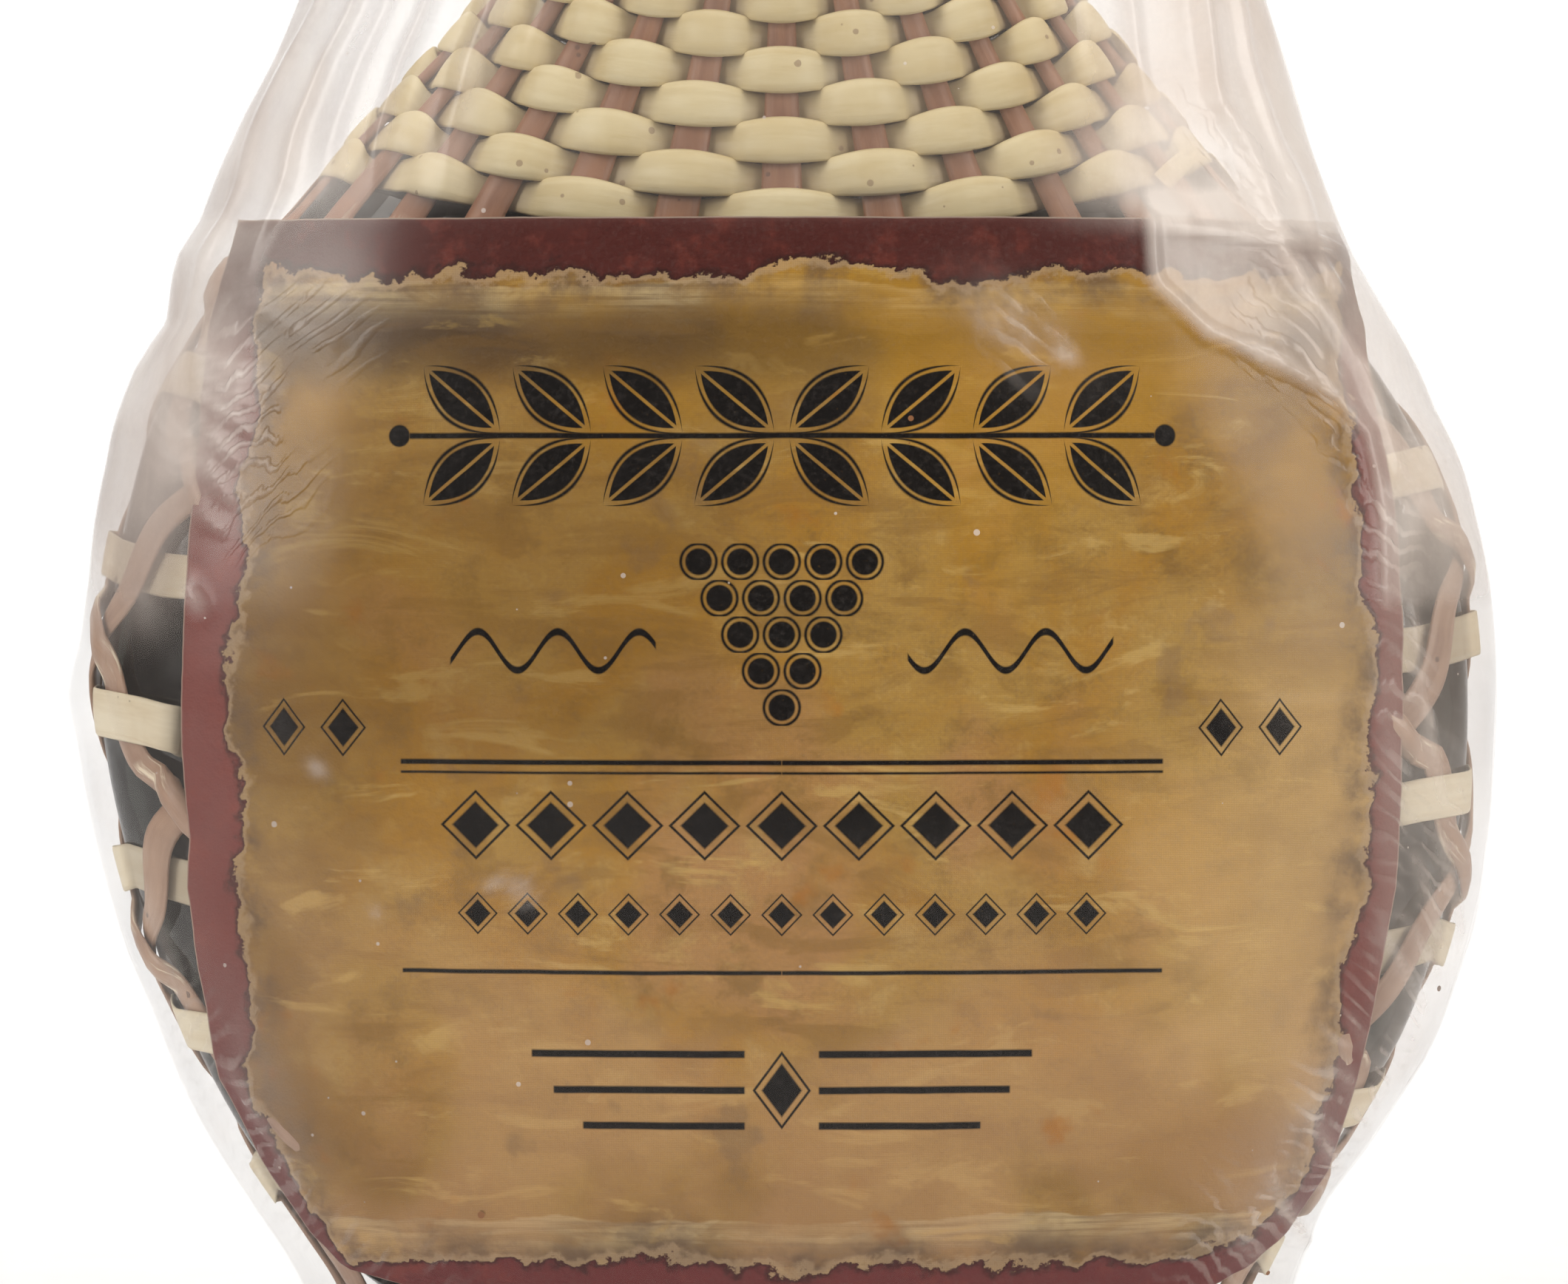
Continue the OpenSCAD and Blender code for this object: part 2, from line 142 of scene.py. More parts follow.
# How far the lattice rises at the two narrow sides: broadly, at their very edge, and in its top round
SIDE_RISE, EDGE_RISE, TOP_RISE, TOP_PITCHES = 2.5, 6.0, 3.0, 1.4
ROW_RISE = 8.0


def side_share(turn):
    """One at the two narrow sides of the flask, and nothing at its front and back."""
    return np.cos(2 * np.pi * turn) ** 2


def lattice_z(turn, pitches):
    """Height of the lattice, a number of pitches down from its top."""
    side = side_share(turn)
    top = smoothstep(0, 1, TOP_PITCHES - np.asarray(pitches, float))
    rise = SIDE_RISE * side + EDGE_RISE * side**5 + TOP_RISE * top * side**2
    return STRIP_TOP_Z - STRIP_PITCH * pitches + rise


def row_z(turn):
    """Height of the shoulder's weaver, which climbs one row on each turn."""
    return WEAVE_Z + ROW_PITCH * (turn + 0.5) + ROW_RISE * side_share(turn) * (1 - turn / (WEAVER_TURNS + 1))


def angle_of(turn, z):
    """Angle round the ellipse: equal angles on the shoulder, about equal lengths on the belly."""
    x, y = basket_size(z)
    closed = np.clip((WEAVE_Z - z) / FAN_DROP, 0, 1)
    spread = (x / y - 1) / (x / y + 1) / 2 * closed**2 * (3 - 2 * closed)
    even = 2 * np.pi * (turn + START_SHARE / STAKES)
    return even + spread * np.sin(2 * even)


def outward(turn, z):
    a, (x, y) = angle_of(turn, z), basket_size(z)
    (x1, y1), (x0, y0) = basket_size(z + TICK), basket_size(z - TICK)
    x_run, y_run = (x1 - x0) / (2 * TICK), (y1 - y0) / (2 * TICK)
    up = -(np.cos(a) ** 2) * x_run / x - np.sin(a) ** 2 * y_run / y
    n = np.stack([np.cos(a) / x, np.sin(a) / y, up], -1)
    return n / np.linalg.norm(n, axis=-1, keepdims=True)


def spot(turn, z, off):
    """A point of the cover: a turn, a height and a distance off the glass."""
    turn, z = np.broadcast_arrays(np.asarray(turn, float), np.asarray(z, float))
    a, (x, y) = angle_of(turn, z), basket_size(z)
    off = np.broadcast_to(off, turn.shape)
    return np.stack([x * np.cos(a), y * np.sin(a), z], -1) + off[..., None] * outward(turn, z)


print("row pitch", round(ROW_PITCH, 2), "mm, strip pitch", round(STRIP_PITCH, 2), "mm")

# %% [markdown]
# ## Small tools for making pieces
# Everything made here ends as a plain mesh object at the origin, riding on a body of the frame.
# A smooth noise made of seeded sine waves gives hand-made pieces their small differences, and it is
# the same on each run. A monotone cubic carries a strand through its stations without overshooting,
# so that it bends like a springy rod and still keeps its clearances.

# %% Noise and curves as arrays
def sine_noise(seed, *coords, waves=7, longest=1.0, octave=1.6):
    """Smooth noise of about -1 to 1 over one or more coordinates."""
    rng = np.random.default_rng(seed)
    total, weight = 0.0, 0.0
    for k in range(waves):
        way = rng.normal(size=len(coords))
        way /= np.linalg.norm(way)
        size = longest / octave ** (k * 0.5)
        along = sum(c * w for c, w in zip(coords, way))
        total = total + size**0.6 * np.sin(along * 2 * np.pi / size + rng.uniform(0, 2 * np.pi))
        weight += size**0.6 * 0.7
    return total / weight


def monotone(x, xs, ys):
    """Monotone cubic through the stations (xs rising, ys), read at x."""
    xs, ys = np.asarray(xs, float), np.asarray(ys, float)
    h, rise = np.diff(xs), np.diff(ys) / np.diff(xs)
    m = np.zeros_like(ys)
    same = rise[:-1] * rise[1:] > 0
    with np.errstate(divide="ignore", invalid="ignore"):
        w1, w2 = 2 * h[1:] + h[:-1], h[1:] + 2 * h[:-1]
        m[1:-1] = np.where(same, (w1 + w2) / (w1 / rise[:-1] + w2 / rise[1:]), 0)
    m[0], m[-1] = rise[0], rise[-1]
    k = np.clip(np.searchsorted(xs, x, side="right") - 1, 0, len(h) - 1)
    t = (x - xs[k]) / h[k]
    return (
        ys[k] * (1 + 2 * t) * (1 - t) ** 2
        + h[k] * m[k] * t * (1 - t) ** 2
        + ys[k + 1] * t * t * (3 - 2 * t)
        + h[k] * m[k + 1] * t * t * (t - 1)
    )


# %% Meshes from arrays
def placed(name, data):
    """A new object for a mesh, light or camera, linked to the scene."""
    made = bpy.data.objects.new(name, data)
    bpy.context.scene.collection.objects.link(made)
    return made


def store_values(mesh, values):
    """Named values per point, as numbers or as vectors."""
    for key, value in values.items():
        value = np.ascontiguousarray(value, np.float32)
        if value.ndim == 1:
            mesh.attributes.new(key, "FLOAT", "POINT").data.foreach_set("value", value)
        else:
            mesh.attributes.new(key, "FLOAT_VECTOR", "POINT").data.foreach_set("vector", value.ravel())


def mesh_piece(name, points, faces, attributes=None):
    """A mesh object from points in millimetres, with named values per point."""
    mesh = bpy.data.meshes.new(name)
    mesh.from_pydata((np.asarray(points) * MM).tolist(), [], [tuple(map(int, f)) for f in faces])
    store_values(mesh, attributes or {})
    mesh.shade_smooth()
    return placed(name, mesh)


def grid_faces(rows, columns, wrap=False, flip=False):
    i, j = np.meshgrid(np.arange(rows - 1), np.arange(columns - (0 if wrap else 1)), indexing="ij")
    a, b = i * columns + j, i * columns + (j + 1) % columns
    quads = np.stack([a, b, b + columns, a + columns], -1).reshape(-1, 4)
    return quads[:, ::-1] if flip else quads


def volume_of(mesh):
    mesh.calc_loop_triangles()
    co = np.empty(len(mesh.vertices) * 3)
    mesh.vertices.foreach_get("co", co)
    tri = np.empty(len(mesh.loop_triangles) * 3, int)
    mesh.loop_triangles.foreach_get("vertices", tri)
    a, b, c = co.reshape(-1, 3)[tri.reshape(-1, 3)].transpose(1, 0, 2)
    return float((a * np.cross(b, c)).sum() / 6)


def faced_out(piece):
    """The same closed piece with its faces pointing outward."""
    if volume_of(piece.data) < 0:
        piece.data.flip_normals()
    return piece


def settle(piece, material, node, body="bottle"):
    """Give a finished piece its material, and let it stand for its CAD node on its body."""
    piece.data.materials.clear()
    piece.data.materials.append(material)
    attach(piece, body)
    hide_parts(node)
    return piece


print("a lone wave's noise runs from", *np.round(np.percentile(sine_noise(1, np.arange(99.0)), [0, 100]), 2))

# %% [markdown]
# ## Shader groups that several finishes share
# Split willow, bark and cane all have fibres that run along the piece and small blotches of age.
# Film and willow both carry dust. Each of these effects is a node group with named inputs, built
# once, and every material places it with values of its own. The groups only put out masks and
# values, so the shader itself stays in the material.

# %% Shader helpers
FLOAT, VECTOR, COLOUR = "NodeSocketFloat", "NodeSocketVector", "NodeSocketColor"


def fill(tree, socket, value):
    """A socket linked from another one, or set to a value."""
    if isinstance(value, bpy.types.NodeSocket):
        tree.links.new(value, socket)
    else:
        socket.default_value = value


def add(tree, kind, inputs=None, **settings):
    """A node with its settings, and its inputs given as values or as sockets to link from."""
    n = tree.nodes.new(kind)
    for key, value in settings.items():
        setattr(n, key, value)
    for key, value in (inputs or {}).items():
        fill(tree, n.inputs[key], value)
    return n


def group(tree, made, inputs):
    return add(tree, "ShaderNodeGroup", inputs, node_tree=made)


def maths(tree, operation, *values):
    return add(tree, "ShaderNodeMath", dict(enumerate(values)), operation=operation).outputs[0]


def times(tree, *values):
    total = values[0]
    for value in values[1:]:
        total = maths(tree, "MULTIPLY", total, value)
    return total


def mixed(tree, share, a, b):
    """A colour between a and b, each a colour or a socket."""
    n = add(tree, "ShaderNodeMix", data_type="RGBA")
    for k, value in ((0, share), (6, a), (7, b)):
        fill(tree, n.inputs[k], (*value, 1) if isinstance(value, tuple) else value)
    return n.outputs[2]


def ramp(tree, value, low, high, out_low=0.0, out_high=1.0, kind="SMOOTHSTEP"):
    return add(tree, "ShaderNodeMapRange", {0: value, 1: low, 2: high, 3: out_low, 4: out_high},
               interpolation_type=kind).outputs[0]


def noise(tree, place, scale, detail=2.0, roughness=0.5, distortion=0.0):
    return add(tree, "ShaderNodeTexNoise", {"Vector": place, "Scale": scale, "Detail": detail,
                                            "Roughness": roughness, "Distortion": distortion}).outputs[0]


def bump(tree, height, strength, distance, **settings):
    return add(tree, "ShaderNodeBump", {"Strength": strength, "Distance": distance, "Height": height},
               **settings).outputs[0]


def attribute(tree, name):
    return add(tree, "ShaderNodeAttribute", attribute_name=name).outputs["Fac"]


def object_place(tree):
    return add(tree, "ShaderNodeTexCoord").outputs["Object"]


def new_group(name, inputs, outputs):
    """A shader node group with its sockets, as (tree, input sockets, output sockets)."""
    tree = bpy.data.node_groups.new(name, "ShaderNodeTree")
    for label, kind, value in inputs:
        socket = tree.interface.new_socket(label, in_out="INPUT", socket_type=kind)
        if value is not None:
            socket.default_value = value
    for label, kind in outputs:
        tree.interface.new_socket(label, in_out="OUTPUT", socket_type=kind)
    return tree, tree.nodes.new("NodeGroupInput").outputs, tree.nodes.new("NodeGroupOutput").inputs


def new_material(name, colour, roughness, **values):
    """A material with its Principled shader, as (material, tree, inputs of the shader)."""
    material = bpy.data.materials.new(name)
    material.use_nodes = True
    inputs = material.node_tree.nodes["Principled BSDF"].inputs
    for key, value in {"Base_Color": (*colour, 1), "Roughness": roughness, **values}.items():
        inputs[key.replace("_", " ")].default_value = value
    material.diffuse_color = (*colour, 1)
    return material, material.node_tree, inputs


print("shader helpers ready")

# %% Fibres that run along a strand
FIBRES, g_in, g_out = new_group(
    "Fibres",
    [("Along", FLOAT, 0), ("Around", FLOAT, 0), ("Length", FLOAT, 14), ("Fineness", FLOAT, 9),
     ("Seed", FLOAT, 0)],
    [("Fibre", FLOAT), ("Blotch", FLOAT)],
)
fine = add(FIBRES, "ShaderNodeCombineXYZ", {
    0: maths(FIBRES, "DIVIDE", g_in["Along"], g_in["Length"]),
    1: times(FIBRES, g_in["Around"], g_in["Fineness"]), 2: g_in["Seed"]}).outputs[0]
wide = add(FIBRES, "ShaderNodeCombineXYZ", {
    0: times(FIBRES, g_in["Along"], 0.16), 1: g_in["Around"], 2: g_in["Seed"]}).outputs[0]
fill(FIBRES, g_out["Fibre"], noise(FIBRES, fine, 1.0, 5.0, 0.65))
fill(FIBRES, g_out["Blotch"], noise(FIBRES, wide, 1.0, 3.0))
print("group for fibres:", len(FIBRES.nodes), "nodes")

# %% Dust and dirt specks
SPECKS, g_in, g_out = new_group(
    "Specks",
    [("Vector", VECTOR, None), ("Spacing", FLOAT, 400), ("Size", FLOAT, 0.1), ("Share", FLOAT, 0.2)],
    [("Mask", FLOAT)],
)
cells = add(SPECKS, "ShaderNodeTexVoronoi", {"Vector": g_in["Vector"], "Scale": g_in["Spacing"]}).outputs
draw = add(SPECKS, "ShaderNodeSeparateColor", {0: cells["Color"]}).outputs
near = maths(SPECKS, "LESS_THAN", cells["Distance"], times(SPECKS, g_in["Size"], draw[1]))
fill(SPECKS, g_out["Mask"], times(SPECKS, near, maths(SPECKS, "LESS_THAN", draw[0], g_in["Share"])))
print("group for specks:", len(SPECKS.nodes), "nodes")

# %% [markdown]
# ## Willow finishes
# Peeled willow is creamy white and turns straw yellow with age, and willow boiled in its bark turns
# tan to brown. Every strand carries its own length, its way round, a tone of its own, how far it is
# bent, and how much painted shade it gets where it lies under others. The material reads these, so
# the fibres follow each strand round the flask, bark cracks pale where a rod is kinked, painted shade
# darkens strands where they dive under others, and dust specks take the same dark colour.

# %% Willow materials
CRACKED_BARK = (0.86, 0.74, 0.56)


def willow(name, pale, deep, dirt_and_shade, roughness=0.55, fineness=9.0, depth=0.25):
    material, tree, shader = new_material(name, pale, roughness)
    tone, bend, tuck = (attribute(tree, key) for key in ("tone", "bend", "tuck"))
    made = group(tree, FIBRES, {"Along": attribute(tree, "along"), "Around": attribute(tree, "around"),
                                "Fineness": fineness, "Seed": tone}).outputs
    fibre, patch = made["Fibre"], times(tree, ramp(tree, made["Blotch"], 0.35, 0.7), 0.4)
    specks = group(tree, SPECKS, {"Vector": object_place(tree), "Spacing": 500.0, "Size": 0.28,
                                  "Share": 0.12}).outputs[0]
    base = mixed(tree, maths(tree, "MULTIPLY_ADD", ramp(tree, fibre, 0.35, 0.68), 0.45, patch), pale, deep)
    base = mixed(tree, times(tree, tone, 0.35), base, deep)
    base = mixed(tree, times(tree, bend, ramp(tree, fibre, 0.5, 0.62)), base, CRACKED_BARK)
    # Painted shade where a strand lies under others; the same dark colour serves the real dust specks below.
    base = mixed(tree, times(tree, tuck, 0.75), base, dirt_and_shade)
    base = mixed(tree, times(tree, specks, 0.7), base, dirt_and_shade)
    fill(tree, shader["Base Color"], base)
    fill(tree, shader["Roughness"], ramp(tree, fibre, 0.3, 0.7, roughness - 0.1, roughness + 0.15))
    fill(tree, shader["Normal"], bump(tree, fibre, depth, 0.0004))
    return material


CREAM_WILLOW = willow("cream_willow", (0.76, 0.665, 0.42), (0.6, 0.475, 0.24), (0.3, 0.2, 0.11), depth=0.15)
STRIP_WILLOW = willow("white_willow_strip", (0.86, 0.78, 0.6), (0.66, 0.54, 0.36), (0.2, 0.15, 0.11),
                      fineness=14)
BROWN_WILLOW = willow("brown_willow", (0.45, 0.23, 0.13), (0.23, 0.1, 0.055), (0.12, 0.055, 0.035),
                      roughness=0.5)
TAN_WILLOW = willow("tan_willow", (0.5, 0.33, 0.23), (0.28, 0.16, 0.11), (0.09, 0.05, 0.04), roughness=0.42)
print("willow finishes:", [m.name for m in (CREAM_WILLOW, STRIP_WILLOW, BROWN_WILLOW, TAN_WILLOW)])

# %% [markdown]
# ## One Geometry Nodes tree for every strand
# A stake, the weaver, the flat strip and the foot's plait are all the same kind of thing: a section
# carried along a path. So one tree makes them all. The path is a line of points that carry the way
# outward, the way across, the half width and the half thickness. The tree turns it into a curve,
# sweeps a many-sided ring along it, and moves each ring point out to the strand's real section.

# %% The strand tree
SPINE_VALUES = ("out", "across", "half_w", "half_t")
# The last look is how much painted shade a strand gets where it lies under others.
LOOKS = ("tone", "bend", "tuck")


def strand_tree():
    tree = bpy.data.node_groups.new("Strand along a path", "GeometryNodeTree")
    sockets = {}
    for label, kind in (("Path", "NodeSocketGeometry"), ("Sides", "NodeSocketInt"), ("Squareness", FLOAT),
                        ("Finish", "NodeSocketMaterial")):
        sockets[label] = tree.interface.new_socket(label, in_out="INPUT", socket_type=kind).identifier
    tree.interface.new_socket("Strand", in_out="OUTPUT", socket_type="NodeSocketGeometry")
    g_in, g_out = tree.nodes.new("NodeGroupInput").outputs, tree.nodes.new("NodeGroupOutput").inputs

    def named(name, kind="FLOAT"):
        return add(tree, "GeometryNodeInputNamedAttribute", {"Name": name}, data_type=kind).outputs[0]

    def store(geometry, name, kind, value):
        inputs = {"Geometry": geometry, "Name": name, "Value": value}
        return add(tree, "GeometryNodeStoreNamedAttribute", inputs, data_type=kind, domain="POINT").outputs[0]

    def squared(value):
        """A value of -1 to 1 on its way from a round section (squareness 1) to a boxy one (near 0)."""
        size = maths(tree, "POWER", maths(tree, "ABSOLUTE", value), g_in["Squareness"])
        return times(tree, maths(tree, "SIGN", value), size)

    def moved_by(place, way, distance):
        along = named(way, "FLOAT_VECTOR")
        step = add(tree, "ShaderNodeVectorMath", {0: along, 3: distance}, operation="SCALE")
        return add(tree, "ShaderNodeVectorMath", {0: place, 1: step.outputs[0]}, operation="ADD").outputs[0]

    curve = add(tree, "GeometryNodeMeshToCurve", {"Mesh": g_in["Path"]}).outputs[0]
    curve = store(curve, "spine", "FLOAT_VECTOR", add(tree, "GeometryNodeInputPosition").outputs[0])
    circle = {"Resolution": g_in["Sides"], "Radius": 0.0005}
    ring = add(tree, "GeometryNodeCurvePrimitiveCircle", circle).outputs[0]
    full_turns = times(tree, add(tree, "GeometryNodeInputIndex").outputs[0], 2 * math.pi)
    ring = store(ring, "corner", "FLOAT", maths(tree, "DIVIDE", full_turns, g_in["Sides"]))
    sweep = {"Curve": curve, "Profile Curve": ring, "Fill Caps": True}
    swept = add(tree, "GeometryNodeCurveToMesh", sweep).outputs[0]
    angle = named("corner")
    wide = times(tree, squared(maths(tree, "COSINE", angle)), named("half_w"))
    thick = times(tree, squared(maths(tree, "SINE", angle)), named("half_t"))
    place = moved_by(moved_by(named("spine", "FLOAT_VECTOR"), "across", wide), "out", thick)
    moved = add(tree, "GeometryNodeSetPosition", {"Geometry": swept, "Position": place}).outputs[0]
    moved = store(moved, "around", "FLOAT", maths(tree, "DIVIDE", angle, 2 * math.pi))
    smooth = add(tree, "GeometryNodeSetShadeSmooth", {"Geometry": moved}).outputs[0]
    real = add(tree, "GeometryNodeRealizeInstances", {"Geometry": smooth}).outputs[0]
    done = add(tree, "GeometryNodeSetMaterial", {"Geometry": real, "Material": g_in["Finish"]}).outputs[0]
    fill(tree, g_out[0], done)
    return tree, sockets


STRAND, STRAND_SOCKETS = strand_tree()
print("strand tree:", len(STRAND.nodes), "nodes")

# %% One strand
def strand(name, spine, out, half_w, half_t, material, sides=10, squareness=1.0, closed=False, start=0.0,
           **looks):
    """Sweep one strand (sizes in millimetres) and return it as a plain mesh object."""
    count = len(spine)
    way = np.roll(spine, -1, 0) - np.roll(spine, 1, 0)
    if not closed:
        way[0], way[-1] = spine[1] - spine[0], spine[-1] - spine[-2]
    way /= np.linalg.norm(way, axis=1, keepdims=True)
    across = np.cross(out, way)
    across /= np.linalg.norm(across, axis=1, keepdims=True)
    steps = np.linalg.norm(np.diff(spine, axis=0), axis=1)
    path = bpy.data.meshes.new(name + "_path")
    edges = [(k, k + 1) for k in range(count - 1)] + ([(count - 1, 0)] if closed else [])
    path.from_pydata((spine * MM).tolist(), edges, [])
    store_values(path, {
        "out": np.cross(way, across), "across": across,
        "half_w": np.broadcast_to(half_w, count) * MM, "half_t": np.broadcast_to(half_t, count) * MM,
        "along": start + np.concatenate([[0], np.cumsum(steps)]),
        **{key: np.broadcast_to(looks.get(key, 0.0), count) for key in LOOKS},
    })
    line = placed(name + "_line", path)
    modifier = line.modifiers.new("Strand", "NODES")
    modifier.node_group = STRAND
    for label, value in (("Sides", sides), ("Squareness", float(squareness)), ("Finish", material)):
        modifier[STRAND_SOCKETS[label]] = value
    graph = bpy.context.evaluated_depsgraph_get()
    mesh = bpy.data.meshes.new_from_object(line.evaluated_get(graph), depsgraph=graph)
    bpy.data.objects.remove(line)
    bpy.data.meshes.remove(path)
    mesh.name = name
    for key in ("spine", "corner", *SPINE_VALUES):
        if key in mesh.attributes:
            mesh.attributes.remove(mesh.attributes[key])
    return faced_out(placed(name, mesh))


def joined(name, parts):
    """Several strands as one mesh object."""
    with bpy.context.temp_override(active_object=parts[0], selected_editable_objects=parts):
        bpy.ops.object.join()
    parts[0].name = parts[0].data.name = name
    return parts[0]

# %% [markdown]
# ## The glass flask
# The real flask is blown dark glass, flat and round, with a thick foot and a round neck. A lathe
# can't make it, because it isn't round, so it is lofted: oval rings are stacked up the outside, over
# the lip, and down the inside. The inner skin is a wall's thickness inside the outer one, and both
# ends are closed with a fan, so the glass is one closed body with a real hollow.

# %% Loft the glass
def heights(low, high, count):
    """Heights from low to high, closer together at both ends."""
    t = np.linspace(0, 1, count + 1)
    return low + (high - low) * (t + (1 - np.cos(np.pi * t)) / 2) / 2


def body_rings(low, high, count, off):
    """Oval rings of (height, half width, half depth) up the flask's body, a distance off its skin."""
    z = heights(low, high, count)
    return list(zip(z, half_size(z, GLASS_HALF_W, 0, SIDE_SLOPE, SIDE_BLEND, off),
                    half_size(z, GLASS_HALF_D, 0, FRONT_SLOPE, FRONT_BLEND, off)))


def glass_rings():
    foot_z, join_z, lip_low = MAT_T + GLASS_GAP, NECK_Z + 8, MOUTH_Z - LIP_H
    neck = [(join_z + 1.2, NECK_TUBE_R), (lip_low - 0.5, NECK_TUBE_R), (lip_low, NECK_TUBE_R + 0.1),
            (lip_low + 0.7, LIP_R - 0.5), (lip_low + 1.5, LIP_R), (MOUTH_Z - 2.2, LIP_R),
            (MOUTH_Z - 0.8, LIP_R - 0.5), (MOUTH_Z - 0.1, LIP_R - 1.6), (MOUTH_Z, LIP_R - 2.6),
            (MOUTH_Z, BORE_R + 0.6), (MOUTH_Z - 0.4, BORE_R + 0.1), (MOUTH_Z - 1.2, BORE_R),
            (join_z - 1, BORE_R)]
    return [*body_rings(foot_z, join_z, 84, 0), *((z, r, r) for z, r in neck),
            *body_rings(foot_z + GLASS_BASE, join_z - 3, 70, -GLASS_WALL)[::-1]]


def lofted(name, rings, sides=96):
    """Oval rings of (height, half width, half depth), joined in order and closed at both ends."""
    a = np.linspace(0, 2 * np.pi, sides, endpoint=False)
    points = [np.stack([x * np.cos(a), y * np.sin(a), np.full(sides, z)], -1) for z, x, y in rings]
    ends = [tuple(range(sides))[::-1], tuple(range((len(rings) - 1) * sides, len(rings) * sides))]
    faces = [*grid_faces(len(rings), sides, wrap=True), *ends]
    return faced_out(mesh_piece(name, np.concatenate(points), faces))


DARK_GLASS, tree, shader = new_material(
    "dark_bottle_glass", (0.03, 0.034, 0.03), 0.04, IOR=1.5, Transmission_Weight=1.0)
where = object_place(tree)
fill(tree, shader["Normal"], bump(tree, noise(tree, where, 28.0, 1.0), 0.25, 0.001))
fill(tree, shader["Roughness"], ramp(tree, noise(tree, where, 90.0, 4.0), 0.4, 0.75, 0.03, 0.22))
flask = settle(lofted("dark_glass_flask", glass_rings()), DARK_GLASS, "glass_flask")
print("glass volume in ml:", round(volume_of(flask.data) * 1e6, 1))

# %% [markdown]
# ## The willow stakes
# Each stake starts at the neck as a flat brown skein under the close weave. Below the weave it is a
# round tan rod that leans to one side, lies flat where the strip holds it, and kinks out over the
# rod that leans the other way. The stations down a stake are those of the CAD source, and a monotone
# cubic joins them. The kinks are marked for the material, because that is where old bark splits.

# %% Stations down a stake
# In shares of a pitch: how far beside the strip a rod lies flat, its lean there, and where it has
# climbed on the rod that it crosses. The steps are how far apart bends and mesh rings are, in mm.
REST, REST_LEAN, OVER_SHARE = 0.25, 0.25 * 0.55, 0.43
BEND_STEP, RING_STEP, FOOT_Z = 12, 1.15, 1.0


def stake_stations(i):
    """Rows of (turn, height, distance off the glass) down stake i, and the lower edge of the weave."""
    first, way = i - STAKES, 1 if i % 2 else -1
    step = STAKES + way
    pitches = (STAKES * STRIP_TURNS - first) // step
    over_strip = ROD_IN if way == 1 else ROD_ON_STRIP
    crossing = [(OVER_SHARE, OVER_SHARE, ROD_OUT), (1 - OVER_SHARE, 1 - OVER_SHARE, ROD_OUT)]
    if way == -1:
        crossing = [(0.5, 0.5, ROD_IN)]
    weave_low = float(WEAVE_Z + ROW_RISE * side_share(first / STAKES)) - GAP
    rest_z = float(lattice_z(first / STAKES, (first + step * REST) / STAKES))
    stations = [(first / STAKES, z, STAKE_MID) for z in heights(STAKE_TOP_Z, weave_low, 4)]
    bends = int((weave_low - rest_z) // BEND_STEP)
    for share in (b / (bends + 1) for b in range(1, bends + 1)):
        turn = (first + way * REST_LEAN * share) / STAKES
        stations.append((turn, weave_low + (rest_z - weave_low) * share, ROD_IN))
    for k in range(pitches + 1):
        for part, side, off in [(-REST, -REST_LEAN, over_strip), (REST, REST_LEAN, over_strip), *crossing]:
            if (k > 0 or part > 0) and (k < pitches or part < 0):
                turn = (first + way * (k + side)) / STAKES
                stations.append((turn, float(lattice_z(turn, (first + step * (k + part)) / STAKES)), off))
    last = (first + way * pitches) / STAKES
    last_z = float(lattice_z(last, (first + step * pitches) / STAKES))
    stations += [(last, last_z - STRIP_W / 2, over_strip), (last, BORDER_H + BORDER_T, ROD_IN),
                 (last, FOOT_Z, ROD_IN)]
    return np.array(stations), weave_low


print("stations down the first stake:", len(stake_stations(1)[0]))

# %% Stakes
def make_stake(i):
    stations, weave_low = stake_stations(i)
    z = np.append(np.arange(stations[0, 1], stations[-1, 1], -RING_STEP), stations[-1, 1])
    turn, off = (monotone(-z, -stations[:, 1], stations[:, k]) for k in (0, 2))
    room = np.linalg.norm(spot(turn + 1 / STAKES, z, 0) - spot(turn, z, 0), axis=1)
    flat = smoothstep(weave_low - 7, weave_low - 1, z)
    own = sine_noise(100 + i, z, longest=60.0)
    turn = turn + (1 - flat) * 0.012 * own / STAKES * smoothstep(12, 30, z)
    half_w = flat * 0.21 * room + (1 - flat) * (2.05 + 0.15 * own)
    half_t = flat * STAKE_T / 2 + (1 - flat) * (1.85 + 0.1 * own)
    kink = smoothstep(0.35, 0.9, np.abs(np.gradient(off, -z))) + 0.35 * smoothstep(0.2, 0.8, own)
    # A stake gets painted shade under the close weave and where it goes down into the foot border.
    piece = strand(f"willow_stake_{i:02d}", spot(turn, z, off), outward(turn, z), half_w, half_t,
                   BROWN_WILLOW, sides=12, start=i * 37.0,
                   bend=np.clip(np.where(z < weave_low, kink, 0), 0, 1),
                   tuck=np.where(z < weave_low, 0.0, 0.25) + 0.5 * smoothstep(16, 9, z),
                   tone=0.5 + 0.5 * float(sine_noise(7, float(i), longest=3.1)))
    settle(piece, BROWN_WILLOW, f"stake_{i:02d}")
    piece.data.materials.append(TAN_WILLOW)
    centres = np.empty(len(piece.data.polygons) * 3)
    piece.data.polygons.foreach_get("center", centres)
    below_weave = centres.reshape(-1, 3)[:, 2] < (weave_low - 2) * MM
    piece.data.polygons.foreach_set("material_index", below_weave.astype(np.int32))
    return piece


stakes = [make_stake(i) for i in range(1, STAKES + 1)]
print(len(stakes), "stakes with", len(stakes[0].data.polygons), "faces in the first")

# %% [markdown]
# ## The strip and the shoulder weave
# The belly's strip is a flat split of white willow that goes over the rods of one lean and under the
# others. The shoulder's weaver does the same over the flat stakes, row on row. Between two stakes a
# weaver passes from front to back, so it is squeezed narrow there and swells where it lies on top,
# which gives the cover its rows of plump oval cells.

